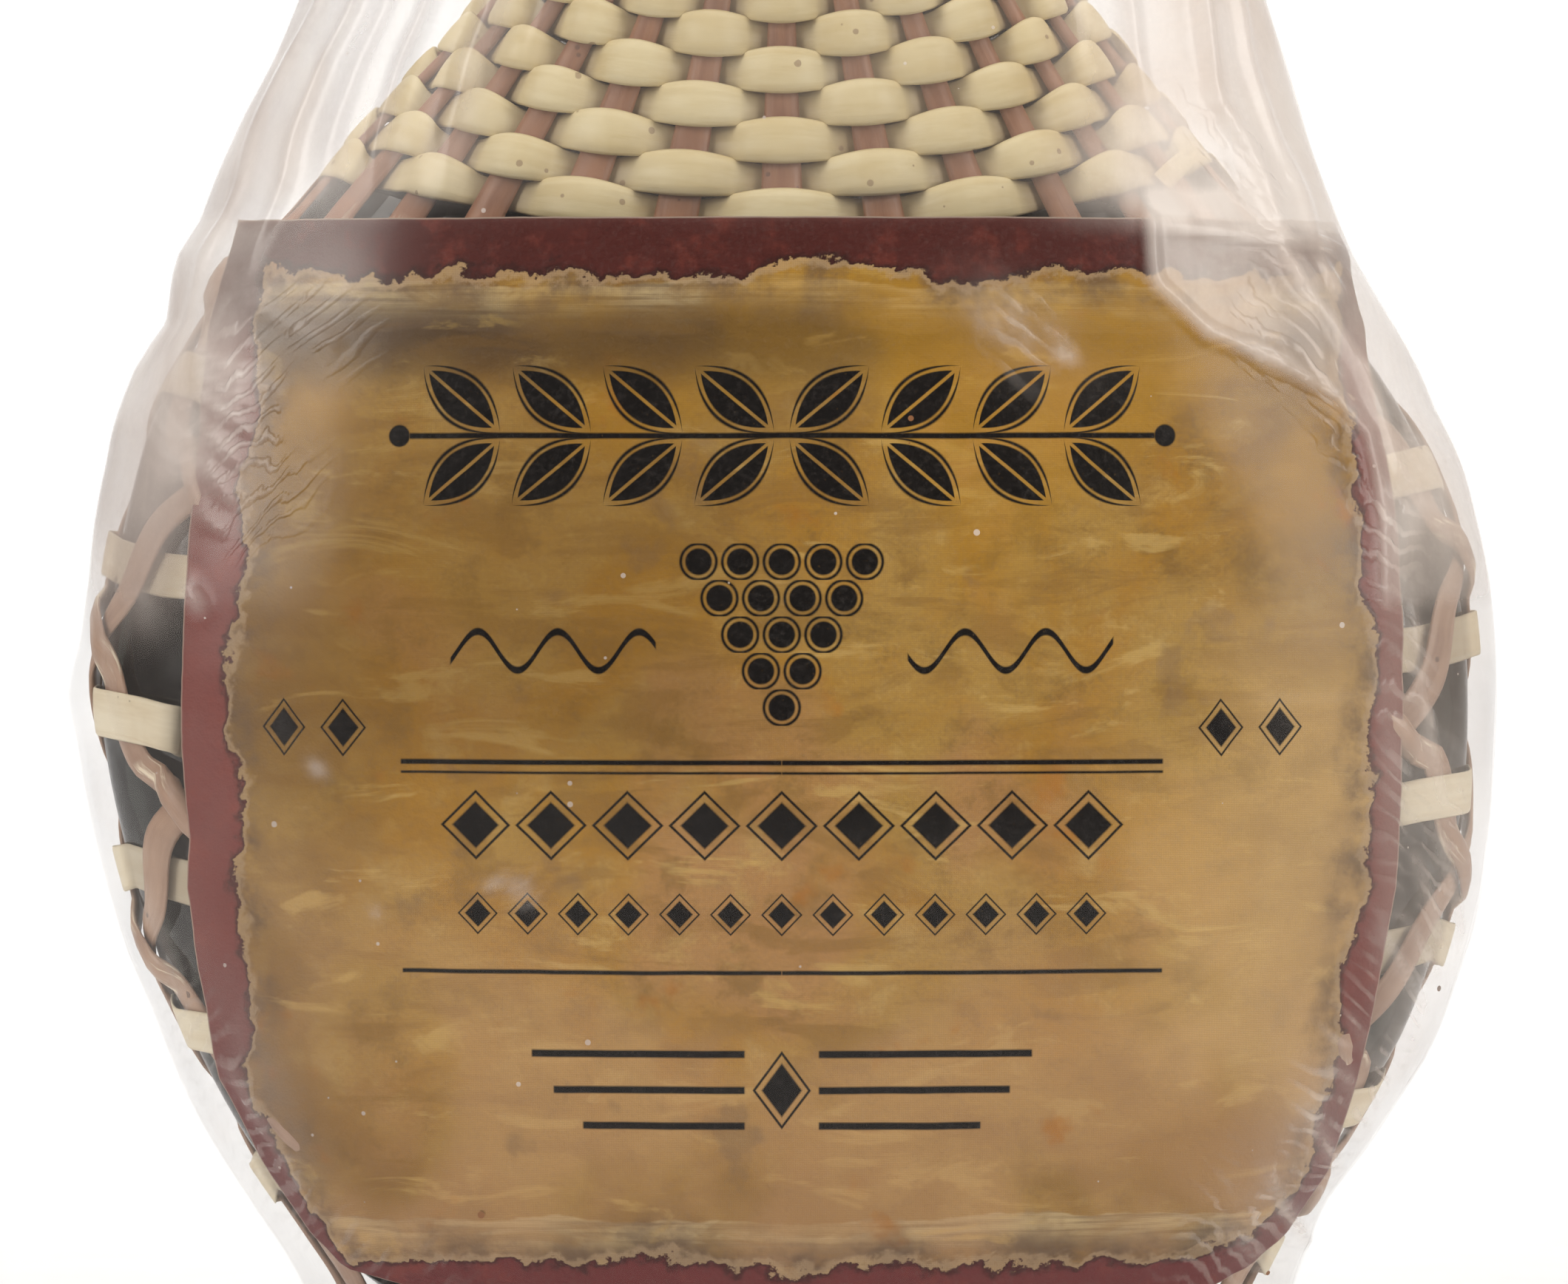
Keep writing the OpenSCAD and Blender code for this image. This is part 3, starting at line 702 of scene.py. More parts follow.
# %% The strip
def strip_levels():
    """Crossing numbers, and how far out the strip lies there: 1 over a rod, 0 under one."""
    crossing = np.arange(STAKES * STRIP_TURNS + 1)
    places = (crossing[:, None] + (-0.34, -0.2, 0.2, 0.34)).ravel()
    return places, np.repeat(crossing % 2 == 0, 4).astype(float)


def make_strip():
    j = np.arange(-0.34, STAKES * STRIP_TURNS + 0.34 + 1 / 30, 1 / 15)
    turn = j / STAKES
    level = monotone(j, *strip_levels())
    off = STRIP_IN + (STRIP_OUT - STRIP_IN) * level
    z = lattice_z(turn, turn) + 0.4 * sine_noise(31, j, longest=23.0)
    half = STRIP_W / 2 * (0.78 + 0.06 * sine_noise(32, j, longest=40.0))
    # The strip gets painted shade where it dives under a rod.
    return strand("white_willow_strip", spot(turn, z, off), outward(turn, z), half, STRIP_T / 2, STRIP_WILLOW,
                  sides=12, squareness=0.45, tuck=0.55 * smoothstep(0.7, 0.1, level),
                  tone=0.5 + 0.5 * sine_noise(33, j, longest=80.0),
                  bend=0.3 * smoothstep(0.1, 0.5, level) * smoothstep(0.9, 0.5, level))


strip = settle(make_strip(), STRIP_WILLOW, "lattice_strip")
print("strip faces:", len(strip.data.polygons))

# %% The weaver's rounds, and its loose end
def make_weaver(i):
    j = np.arange((i - 1) * STAKES - 0.27, i * STAKES - 1 + 0.27 + 1 / 24, 1 / 12)
    turn = j / STAKES
    wave = np.cos(np.pi * j)
    level = np.sign(wave) * np.abs(wave) ** 0.8
    own = sine_noise(50 + i, j, longest=9.0)
    z = row_z(turn) + 0.16 * own
    over = smoothstep(-0.2, 1.0, level)
    off = (WEAVER_IN + WEAVER_OUT) / 2 + (WEAVER_OUT - WEAVER_IN) / 2 * level + 0.3 * over
    half = ROW_PITCH * (0.535 + 0.13 * wave + 0.015 * own)
    # The weaver gets painted shade where it passes under a stake.
    return strand(f"shoulder_weaver_round_{i:02d}", spot(turn, z, off), outward(turn, z), half,
                  0.5 + 0.4 * over, CREAM_WILLOW, sides=12, squareness=0.85, start=i * 290.0,
                  tone=0.5 + 0.5 * np.round(3 * sine_noise(60 + i, np.floor((j + 1) / 2), longest=5.0)) / 3,
                  tuck=smoothstep(0.1, -0.8, level) * 0.8)


# Down the loose end, in shares of its length: distance to the right, height, distance off the glass
LOOSE_STOPS = [0, 0.3, 0.55, 0.8, 1]
LOOSE_PATH = [(51.5, 56.3, 60.6, 61.2, 59.0), (174.5, 180.0, 180.2, 176.6, 173.6), (2.8, 5.2, 7.0, 7.0, 6.0)]


def loose_end():
    """The weaver's first tip, which sticks out on the right and curls back on itself."""
    t, blur = np.linspace(0, 1, 60), np.hanning(13) / np.hanning(13).sum()
    sharp = (np.pad(np.interp(t, LOOSE_STOPS, values), 6, mode="edge") for values in LOOSE_PATH)
    x, z, off = (np.convolve(values, blur, "valid") for values in sharp)
    turn = -np.arccos(x / basket_size(z)[0]) / (2 * np.pi) - START_SHARE / STAKES
    return strand("loose_weaver_end", spot(turn, z, off), outward(turn, z), 1.5 - 0.6 * t, 0.45, CREAM_WILLOW,
                  squareness=0.7, bend=0.6 * t, tone=0.8)


weavers = [make_weaver(i) for i in range(1, WEAVER_TURNS + 1)]
weavers[0] = joined("shoulder_weaver_round_01", [weavers[0], loose_end()])
for i, piece in enumerate(weavers, 1):
    settle(piece, CREAM_WILLOW, f"shoulder_weaver_{i:02d}")
print(len(weavers), "rounds of weaver made")

# %% [markdown]
# ## Foot border, mat and neck binding
# The stakes' feet stand in a border of willow rods twisted round each other in two rows. The flask
# rests on a small mat of rods wound in an oval spiral, and thin skeins whip the stakes' tips round
# the neck. A twisted pair is two sections that circle a shared path half a turn apart, and a wound
# mat is one path whose radius shrinks by a rod's width on each round.

# %% Twisted rods
UP = np.array([0.0, 0.0, 1.0])


def twisted(name, half_w, half_d, z, swing, thick, twists, points, material, tone=0.4):
    """Two closed strands that wind round one oval path, joined into one mesh."""
    a = np.linspace(0, 2 * np.pi, points, endpoint=False)
    n = np.stack([np.cos(a) / half_w, np.sin(a) / half_d, np.zeros_like(a)], -1)
    n /= np.linalg.norm(n, axis=1, keepdims=True)
    path = np.stack([half_w * np.cos(a), half_d * np.sin(a), np.full_like(a, z)], -1)
    plies = []
    for ply in range(2):
        phase = twists * a + np.pi * ply
        out = np.cos(phase)[:, None] * n + np.sin(phase)[:, None] * UP
        # Each ply gets painted shade on the side where it turns in under the other.
        plies.append(strand(f"{name}_{ply}", path + swing * out, out, thick, thick, material, closed=True,
                            start=ply * 400.0, tone=tone + 0.2 * ply,
                            tuck=0.3 * smoothstep(0.2, -0.9, np.cos(phase))))
    return joined(name, plies)


BORDER_W, BORDER_D = FOOT_HALF_W + 6.85, FOOT_HALF_D + 6.85
border_rows = [
    twisted(f"border_row_{row}", BORDER_W, BORDER_D, z, 1.02, 1.1, twists, 420, TAN_WILLOW)
    for row, (z, twists) in enumerate([(2.25, STAKES), (6.65, -STAKES)])
]
border = settle(joined("willow_foot_border", border_rows), TAN_WILLOW, "foot_border")
print("border:", len(border.data.polygons), "faces")

# %% The mat
MAT_ROUNDS, MAT_ROD, MAT_MID, MAT_RIBS = 6, 2.5, 2.5, 12
t = np.linspace(0, 2 * np.pi * MAT_ROUNDS, 260 * MAT_ROUNDS)
shrink = 1.45 + MAT_ROD * t / (2 * np.pi)
coil = np.stack([(FOOT_HALF_W - shrink) * np.cos(t), (FOOT_HALF_D - shrink) * np.sin(t),
                 MAT_MID + 0.35 * np.cos(t * 11.5)], -1)
# The mat's rods get a little painted shade all over.
mat_rods = strand("mat_rods", coil, np.tile(UP, (len(t), 1)), 1.2, 1.4, TAN_WILLOW, sides=8, tone=0.6,
                  tuck=0.35)
ribs = []
for k, x in enumerate(np.linspace(-46, 46, MAT_RIBS)):
    reach = (FOOT_HALF_D - 2) * math.sqrt(1 - (x / FOOT_HALF_W) ** 2)
    y = np.linspace(-reach, reach, 50)
    line = np.stack([np.full_like(y, x), y, MAT_MID + 1.5 * np.cos(np.pi * (y / MAT_ROD + k))], -1)
    ribs.append(strand(f"mat_rib_{k}", line, np.tile(UP, (50, 1)), 1.3, 0.8, BROWN_WILLOW, tone=0.5))
mat = settle(joined("willow_base_mat", [mat_rods, *ribs]), TAN_WILLOW, "base_mat")
print("mat:", len(mat.data.polygons), "faces")

# %% Neck binding
ring, tie_z = float(basket_size(NECK_Z + 1.4)[0]) + 2.3, NECK_Z + 3.4
bands = [
    twisted(f"binding_band_{k}", ring, ring, tie_z + dz, 0.25, 0.95, 9 + k, 160, CREAM_WILLOW, tone=0.3)
    for k, dz in enumerate((-1.0, 1.0))
]
bands.append(twisted("binding_outer", ring + 0.75, ring + 0.75, tie_z, 0.12, 0.95, 7, 160, CREAM_WILLOW))
binding = settle(joined("willow_neck_binding", bands), CREAM_WILLOW, "neck_binding")
print("binding:", len(binding.data.polygons), "faces")

# %% [markdown]
# ## The stopper
# The cork is a slightly tapered cylinder of ground bark: tan, with darker pores that are pitted. Its
# plastic head is turned on a lathe profile with rounded edges, and fine grip ribs run down its side.
# Both ride on the stopper body, so they rise together when the stopper is pulled.

# %% A lathe for closed profiles
CORK_R, CORK_LEN, CORK_SOCKET, HEAD_R, HEAD_H, HEAD_GAP = 9.2, 20.0, 5.0, 14.5, 11.0, 0.13


def turned(name, profile, sides, ribs=0, rib_depth=0.0):
    """A closed turned piece from (radius, height, rib share) points, axis points where radius is 0."""
    a = np.linspace(0, 2 * np.pi, sides, endpoint=False)
    points, faces, rings = [], [], []
    for r, z, share in profile:
        rr = r - rib_depth * share * (0.5 - 0.5 * np.cos(ribs * a)) ** 2
        count = 1 if r == 0 else sides
        rings.append([len(points) + k % count for k in range(sides)])
        points.extend(list(zip(rr * np.cos(a), rr * np.sin(a), np.full(sides, z)))[:count])
    for low, high in zip(rings, rings[1:]):
        for k in range(sides):
            m = (k + 1) % sides
            corners = (low[k], low[m], high[m], high[k])
            faces.append(tuple(dict.fromkeys(corners)))
    return faced_out(mesh_piece(name, points, faces))


# %% Cork
low, high = MOUTH_Z - CORK_LEN, MOUTH_Z + CORK_SOCKET
profile = [(0, low, 0), (4, low, 0), (CORK_R - 0.9, low, 0), (CORK_R - 0.35, low + 0.25, 0),
           (CORK_R - 0.08, low + 0.9, 0), *((CORK_R, z, 0) for z in np.linspace(low + 2, high - 0.6, 12)),
           (CORK_R - 0.3, high - 0.1, 0), (CORK_R - 0.8, high, 0), (0, high, 0)]
GROUND_CORK, tree, shader = new_material("ground_cork", (0.62, 0.43, 0.26), 0.8)
where = object_place(tree)
grain = noise(tree, where, 260.0, 6.0, 0.7)
pores = add(tree, "ShaderNodeTexVoronoi", {"Vector": where, "Scale": 420.0}).outputs["Distance"]
pit = times(tree, ramp(tree, pores, 0.12, 0.3, 1.0, 0.0), ramp(tree, grain, 0.45, 0.6))
base = mixed(tree, ramp(tree, grain, 0.35, 0.7), (0.7, 0.5, 0.31), (0.42, 0.26, 0.14))
fill(tree, shader["Base Color"], mixed(tree, pit, base, (0.12, 0.06, 0.03)))
fill(tree, shader["Normal"], bump(tree, pit, 0.4, 0.0004, invert=True))
cork = settle(turned("ground_cork_stopper", profile, 72), GROUND_CORK, "stopper_cork", "stopper")
print("cork volume in ml:", round(volume_of(cork.data) * 1e6, 2))

# %% Head
low, high, edge = MOUTH_Z + HEAD_GAP, MOUTH_Z + HEAD_GAP + HEAD_H, 1.6
socket_r, top_z = CORK_R + 0.1, low + CORK_SOCKET
profile = [(0, top_z, 0), (socket_r, top_z, 0), (socket_r, low + 0.2, 0), (CORK_R + 0.4, low, 0),
           (HEAD_R - 0.5, low, 0), (HEAD_R - 0.1, low + 0.3, 0), (HEAD_R, low + 0.7, 0),
           (HEAD_R, low + 1.0, 1), *((HEAD_R, z, 1) for z in np.linspace(low + 1.3, high - edge - 1.3, 6)),
           (HEAD_R, high - edge - 0.9, 0),
           *((HEAD_R - edge + edge * math.sin(t), high - edge + edge * math.cos(t), 0)
             for t in np.linspace(math.pi / 2, 0, 8)),
           (HEAD_R - edge - 1.5, high - 0.12, 0), (HEAD_R - edge - 2.2, high - 0.45, 0), (0, high - 0.45, 0)]
DARK_PLASTIC, tree, shader = new_material("dark_plastic", (0.025, 0.022, 0.022), 0.32, Coat_Weight=0.2)
wear = noise(tree, object_place(tree), 120.0, 4.0)
fill(tree, shader["Roughness"], ramp(tree, wear, 0.4, 0.7, 0.24, 0.5))
fill(tree, shader["Base Color"],
     mixed(tree, ramp(tree, wear, 0.45, 0.75, 0.0, 0.5), (0.025, 0.022, 0.022), (0.06, 0.055, 0.05)))
head = settle(turned("ribbed_stopper_head", profile, 240, ribs=60, rib_depth=0.35), DARK_PLASTIC,
              "stopper_head", "stopper")
print("head volume in ml:", round(volume_of(head.data) * 1e6, 2))

# %% [markdown]
# ## The shape of the film
# The film was a sleeve, shrunk on with heat. It touches the proud parts of the wicker and the label,
# sags a little between them, and pulls into pleats where it is drawn in at the neck. Its surface is
# one function of a place (a way round the flask and a height) that gives a point, so the label, which
# lies just under it, can use the same function and never pokes through.

# %% Film surface
# How far the film lies off the glass, and over what height and how sharply it is drawn in at the top
FILM_OFF, FILM_DRAW, FILM_DRAW_POWER = 9.9, 26.0, 2.2
# Half size at the belly and at the foot, slope towards the neck, and blend
FILM_WIDE, FILM_DEEP = (GLASS_HALF_W, FOOT_HALF_W, 0.4, 4.0), (27.9, 18.6, 0.16, 3.0)
FILM_LOW_Z, FILM_TOP_Z = 2.0, STAKE_TOP_Z
WEAVER_EDGE = WEAVER_OUT + WEAVER_T / 2 + 0.6


def film_size(z, off=0.0):
    """Half width and half depth of the film at a height, a distance outside its inner face."""
    draw = np.clip((z - FILM_TOP_Z + FILM_DRAW) / FILM_DRAW, 0, None)
    sizes = []
    for section, basket in zip((FILM_WIDE, FILM_DEEP), basket_size(z)):
        own, rim = half_size(z, *section, FILM_OFF + off), basket + WEAVER_EDGE + off
        sizes.append(rim + (own - rim) * (1 - draw**FILM_DRAW_POWER))
    return sizes


def film_spot(angle, z, off=0.0):
    """A point of the film: angle in radians round the oval, where the front's middle is -90 degrees."""
    angle, z = np.broadcast_arrays(np.asarray(angle, float), np.asarray(z, float))
    x, y = film_size(z, off)
    return np.stack([x * np.cos(angle), y * np.sin(angle), z], -1)


print("film top at", round(FILM_TOP_Z, 1), "mm")

# %% [markdown]
# ## A hand-made lean
# The real cover isn't the same on both sides: its left is fuller at the shoulder and slimmer at the
# foot, and its rods are pressed flatter at the two narrow sides, where the glass swells towards the
# film. A short table of side widths describes this. Every piece of the cover passes through it at
# the end, so glass, willow, paper and film all lean together and keep their order from inside to out.

# %% Widths of the two sides
LEAN_Z = [0, 9, 23, 34, 45, 60, 80, 98, 105, 115, 128, 136, 145, 155, 165, 180, 190, 202, 218]
LEAN_RIGHT = [
    1, 1, 0.972, 0.962, 0.981, 1.004, 1.008, 1.004, 1.003, 1.003, 1.007, 1.008, 1.003, 0.99, 0.969, 0.967,
    0.972, 0.987, 1,
]
LEAN_LEFT = [
    1, 1, 0.92, 0.93, 0.944, 0.957, 0.974, 0.992, 0.998, 0.99, 0.994, 1.001, 1.012, 1.006, 1.014, 1.009,
    0.999, 0.987, 1,
]
# How far the glass swells at the two narrow sides, and the thickness of the cover that takes it up
SIDE_FULL, LAYER = 6.4, 9.4


def lean(points):
    """Points in millimetres, moved sideways to the widths of the real cover."""
    x, y, z = points[..., 0], points[..., 1], points[..., 2]
    wide, deep = basket_size(z)
    off = np.abs(x) - wide * np.sqrt(np.clip(1 - (y / deep) ** 2, 0, 1))
    near_side = smoothstep(0.55, 0.92, np.abs(x) / (wide + LAYER)) * smoothstep(30, 62, np.abs(x))
    swell = SIDE_FULL * near_side * smoothstep(9, 30, z) * np.clip(1 - off / LAYER, 0, 1)
    x = x + np.sign(x) * swell
    to_right = smoothstep(-30, 30, x)
    share = monotone(z, LEAN_Z, LEAN_RIGHT) * to_right + monotone(z, LEAN_Z, LEAN_LEFT) * (1 - to_right)
    share = np.where((z > LEAN_Z[0]) & (z < LEAN_Z[-1]), share, 1.0)
    return np.concatenate([(x * share)[..., None], points[..., 1:]], -1)


def lean_mesh(mesh):
    co = np.empty(len(mesh.vertices) * 3, np.float32)
    mesh.vertices.foreach_get("co", co)
    co = lean(co.reshape(-1, 3).astype(float) / MM) * MM
    mesh.vertices.foreach_set("co", co.ravel().astype(np.float32))
    mesh.update()


leaning = (flask, strip, border, mat, *stakes, *weavers)
for piece in leaning:
    lean_mesh(piece.data)
print("leaned", len(leaning), "pieces")

# %% [markdown]
# ## Creases as a list of soft strokes
# Creases, pleats and cloudy patches of the film are each a stroke on the front: two ends, a width and
# a strength. A function turns a list of strokes into a smooth field, so the same kind of list can
# raise the mesh and can cloud the film. This keeps every crease at its place and easy to change.

# %% Strokes and patches
# The narrowest stroke that the film's mesh can carry: finer ones are widened to it
FINEST = 0.9


def strokes(x, z, items):
    """Sum of soft strokes (x0, z0, x1, z1, width, strength), with tapered ends."""
    total = np.zeros(np.broadcast(x, z).shape)
    for x0, z0, x1, z1, width, strength in items:
        dx, dz = x1 - x0, z1 - z0
        t = ((x - x0) * dx + (z - z0) * dz) / (dx * dx + dz * dz)
        inside = np.clip(t, 0, 1)
        d = np.hypot(x - x0 - inside * dx, z - z0 - inside * dz) / max(width, FINEST)
        total = total + strength * np.exp(-(d**2)) * (0.35 + 0.65 * np.sin(np.pi * inside) ** 0.5)
    return total


def patch(x, z, outline, blur):
    """One inside an outline of (x, z) points, with an edge as soft as the blur."""
    near, inside = np.full(np.broadcast(x, z).shape, 1e9), np.zeros(np.broadcast(x, z).shape, bool)
    for (x0, z0), (x1, z1) in zip(outline, outline[1:] + outline[:1]):
        t = np.clip(((x - x0) * (x1 - x0) + (z - z0) * (z1 - z0)) / ((x1 - x0) ** 2 + (z1 - z0) ** 2), 0, 1)
        near = np.minimum(near, np.hypot(x - x0 - t * (x1 - x0), z - z0 - t * (z1 - z0)))
        if z0 != z1:
            inside ^= ((z0 > z) != (z1 > z)) & (x < x0 + (x1 - x0) * (z - z0) / (z1 - z0))
    return smoothstep(-blur, blur, np.where(inside, near, -near))


print("a stroke's top is", strokes(0.0, 0.5, [(0, 0, 0, 1, 1, 1.0)]))

# %% Lists of strokes on the front
# x0, z0, x1, z1, width, height: creases that raise the film
RIDGES = [
    (57, 207, 61, 187, 1.2, 1.5), (61, 187, 66, 180, 1.3, 1.2), (66, 182, 71, 168, 1.3, 0.8),
    (51.6, 171, 52, 161, 0.9, 0.9), (52, 162, 58.5, 155, 0.9, 1.0), (58, 155.5, 68, 150.6, 0.9, 1.0),
    (67, 151, 75.5, 146.5, 1.0, 1.0), (75, 147, 80, 141, 1.0, 0.9), (79.6, 141.5, 81.8, 129, 1.0, 0.8),
    (81.6, 130, 82, 118, 0.9, 0.5), (52, 169.5, 79, 167, 1.0, 0.7), (70, 167, 80, 150, 1.2, 0.8),
    (80, 150, 84, 136, 1.2, 0.8), (64, 153.5, 67, 149.5, 0.6, 0.6), (66, 153, 69.5, 149, 0.6, 0.6),
    (68.5, 152.5, 72, 148, 0.6, 0.5), (71, 165, 73, 161.5, 0.7, 0.8), (73, 165, 75.5, 161, 0.7, 0.8),
    (76, 165, 78.5, 160.5, 0.8, 0.8), (25, 160, 28, 154, 0.5, 0.4), (28, 159, 30.5, 153, 0.5, 0.4),
    (31, 158.5, 34, 152, 0.5, 0.4), (36, 156, 40, 151, 0.5, 0.4), (-80, 153, -72, 148.5, 0.6, 0.6),
    (-79, 150, -70.5, 145, 0.6, 0.6), (-79, 147, -71, 141.5, 0.6, 0.6), (-78.5, 142, -73, 137, 0.6, 0.6),
    (-75, 151.5, -69, 149.5, 0.5, 0.5), (-74, 149, -66, 147, 0.5, 0.4), (-79, 137, -74.5, 132, 0.6, 0.5),
    (-81, 131, -76, 128, 0.5, 0.4), (-73, 160, -60, 153, 0.7, 0.3), (-82.5, 121, -80, 117, 0.8, 0.8),
    (-81.5, 121, -79, 117.5, 0.5, 0.6), (86, 118, 88, 96, 0.7, 0.6), (88, 104, 90, 90, 0.7, 0.5),
    (89, 88, 93, 72, 0.7, 0.6), (86, 84, 90, 70, 0.7, 0.6), (81, 74, 88, 62, 0.7, 0.6),
    (84, 76, 90, 66, 0.7, 0.5), (77, 62, 84, 50, 0.7, 0.5), (72, 50, 80, 38, 0.7, 0.6),
    (75, 58, 83, 44, 0.7, 0.5), (67, 42, 75, 30, 0.7, 0.6), (70, 38, 77, 27, 0.7, 0.5),
    (62, 34, 70, 25, 0.7, 0.5), (-94, 118, -91, 98, 0.9, 0.4), (-90, 80, -84, 60, 0.9, 0.4),
    (-80, 55, -70, 38, 0.9, 0.4),
]
# x0, z0, x1, z1, width, cloudiness: short cloudy strokes and blisters
CLOUDS = [
    (-71, 166, -60, 156, 8, 0.16), (-80, 166, -79, 132, 4.5, 0.42), (-62, 165, -53, 163, 4, 0.1),
    (25, 161, 39, 151, 5, 0.1), (-92, 140, -92, 118, 5, 0.2), (78, 55, 66, 32, 6, 0.16),
    (-80, 70, -68, 38, 4, 0.1), (-64.5, 96.6, -62.5, 95, 1.1, 0.45), (-37.5, 81, -35, 78.5, 1.5, 0.3),
    (-41, 80, -38.5, 81, 0.9, 0.3), (-57, 77, -56, 76, 0.8, 0.3), (37, 152.5, 39.5, 151, 0.8, 0.4),
]
# x0, z0, x1, z1, width, strength: places where the film is finely crumpled
CRUMPLED = [
    (-77, 156, -72, 132, 6, 1.0), (-68, 158, -58, 154, 4, 0.6), (68, 156, 80, 142, 6, 1.0),
    (72, 166, 78, 160, 4, 0.9), (81, 140, 83, 122, 4, 0.7), (28, 158, 38, 152, 6, 0.55),
    (87, 112, 88, 72, 5, 0.8), (86, 70, 72, 38, 7, 1.0), (70, 38, 58, 26, 6, 0.8),
    (-86, 66, -70, 34, 5, 0.6), (-66, 34, -50, 24, 5, 0.5), (-64, 96, -62, 95, 2, 0.6),
    (-38, 81, -35, 79, 3, 0.6), (60, 186, 72, 172, 6, 0.5),
]
# Pleats of the gathered shoulder: share of the half width, spread, height and how far down they reach
PLEATS = [
    (-0.95, 0.012, 0.6, 152), (-0.87, 0.014, 0.9, 160), (-0.8, 0.018, 0.5, 170), (-0.715, 0.014, 0.9, 172),
    (-0.58, 0.03, 1.1, 170), (-0.47, 0.014, 0.4, 186), (0.45, 0.014, 0.3, 190), (0.58, 0.02, 0.4, 186),
    (0.7, 0.018, 0.5, 180), (0.93, 0.014, 0.7, 160),
]
# Outline of the patch on the right where the film lies loose and milky
LOOSE = [
    (51.5, 174), (52, 161.6), (58.1, 155), (67.4, 150.8), (74.9, 146.7), (79.5, 141), (81.6, 130),
    (82, 118), (110, 118), (110, 174),
]
print("creases:", len(RIDGES), "clouds:", len(CLOUDS), "pleats:", len(PLEATS))

# %% [markdown]
# ## How the film lies
# Its two side edges lie off the plain shape by a table of heights, and on the shoulder the film is
# drawn in by pleats. The strokes add the creases that can be picked out on the front, and seeded waves
# add a gentle unevenness all over. A second field, from seeded waves, gives the unseen back creases of
# the same sizes.

# %% Film relief
# How far the film's two side edges lie off its plain shape, at heights up the bottle
SIDE_Z = [
    9, 23, 28, 34, 40, 48, 54, 61, 69, 77, 83, 89, 98, 105, 112, 121, 129, 137, 145, 150, 154, 157, 163,
    166, 171, 178, 186, 193, 202, 218,
]
SIDE_LEFT = [
    0, -0.2, -0.15, 0, 0.1, 0.2, 0.1, -0.1, 0.3, 0, 0, 0, 0, 0.5, -0.2, -0.4, 0, 0, 0.3, 0.7, 0.1, -0.8,
    0.2, 0.5, -0.4, 0.1, 0.2, -0.3, 0, 0,
]
SIDE_RIGHT = [
    0, 0.5, 0.2, -0.4, 0, 0, 0.3, 0.2, 0.2, 0.2, 0, 0.1, 0, 0.1, 0.1, 0.2, 0, 0.1, -0.2, 0.2, 0.3, 0.1, 0.2,
    -0.2, -0.3, -0.2, 0.1, 0.2, 0, 0,
]


def pleats(angle, z, sharp=1.0):
    """The pleats of the shoulder at their places on the front, with others like them on the back."""
    share = np.cos(angle) + 0.012 * sine_noise(206, z, longest=50.0)
    front = smoothstep(0.05, -0.05, np.sin(angle))
    total = np.zeros(np.broadcast(angle, z).shape)
    for place, spread, height, reach in PLEATS:
        for weight, middle in ((front, place), (0.5 * (1 - front), -place * 0.93)):
            own = np.exp(-(((share - middle) / (spread * sharp)) ** 2))
            total = total + weight * height * own * smoothstep(reach, reach + 16, z)
    return total


def on_front(angle):
    return smoothstep(0.15, -0.15, np.sin(angle))


def film_relief(angle, z):
    """How far the film lies outside its plain shape, in millimetres."""
    x, front, way = film_spot(angle, z)[..., 0], on_front(angle), angle * 60
    edge = np.where(x > 0, np.interp(z, SIDE_Z, SIDE_RIGHT), np.interp(z, SIDE_Z, SIDE_LEFT))
    relief = edge * smoothstep(0.9, 0.99, np.abs(np.cos(angle))) + pleats(angle, z)
    relief = relief + front * strokes(x, z, RIDGES) + 0.22 * sine_noise(202, way, z, waves=4, longest=55.0)
    folds = np.clip(sine_noise(204, way + 0.6 * z, z * 0.25, longest=30.0), 0, 1)
    return relief + (1 - front) * 0.7 * folds**2


print("front relief in mm:", np.round(film_relief(-np.pi / 2, np.array([60.0, 120.0, 180.0])), 2))

# %% Cloudiness of the film
# Broad veils: strength, then the edges across and the edges in height, each from none to full
VEILS = [
    (0.62, [(-44, -74)], [(163, 182)]), (0.84, [(32, 60)], [(167, 175)]), (0.1, [], [(168, 176)]),
    (0.4, [(-79, -84)], [(108, 135), (185, 165)]), (0.36, [(-66, -76)], [(122, 140), (182, 168)]),
    (0.2, [(-82, -88)], [(108, 122), (150, 135)]), (0.2, [(78, 84)], [(38, 60), (146, 124)]),
]


def cloud(angle, z):
    """How milky the film is, from 0 to 1: veils at the shoulders and edges, strokes, and pleats with painted
    highlight.
    """
    x, front = film_spot(angle, z)[..., 0], on_front(angle)
    seen = strokes(x, z, CLOUDS) + 0.55 * patch(x, z, LOOSE, 1.8) * smoothstep(104, 138, z)
    for strength, across, up in VEILS:
        edges = [smoothstep(*edge, x) for edge in across] + [smoothstep(*edge, z) for edge in up]
        seen = seen + strength * math.prod(edges)
    seen = seen + 0.06 * smoothstep(55, 82, np.abs(x))
    # Along the pleats the milk is partly the film's own and partly a painted highlight.
    seen = seen + 0.34 * pleats(angle, z, 1.7) - 0.3 * np.exp(-((x - 59) ** 2 + (z - 178) ** 2) / 30)
    unseen = 0.16 + 0.12 * sine_noise(205, angle * 60, z, longest=80.0)
    return np.clip(front * seen + (1 - front) * unseen, 0, 1)


print("cloudiness of the left shoulder:", np.round(cloud(-2.5, np.array([150.0, 180.0, 200.0])), 2))

# %% Sheets from grids of points
def across_sheet(spots):
    """Unit normals of a grid of points."""
    normal = np.cross(np.gradient(spots, axis=1), np.gradient(spots, axis=0))
    return normal / np.linalg.norm(normal, axis=-1, keepdims=True)


def out_of_sheet(spots):
    """Unit normals of a grid of points that all point away from the flask."""
    normal = across_sheet(spots)
    return normal * np.where((normal * spots).sum(-1, keepdims=True) < 0, -1, 1)


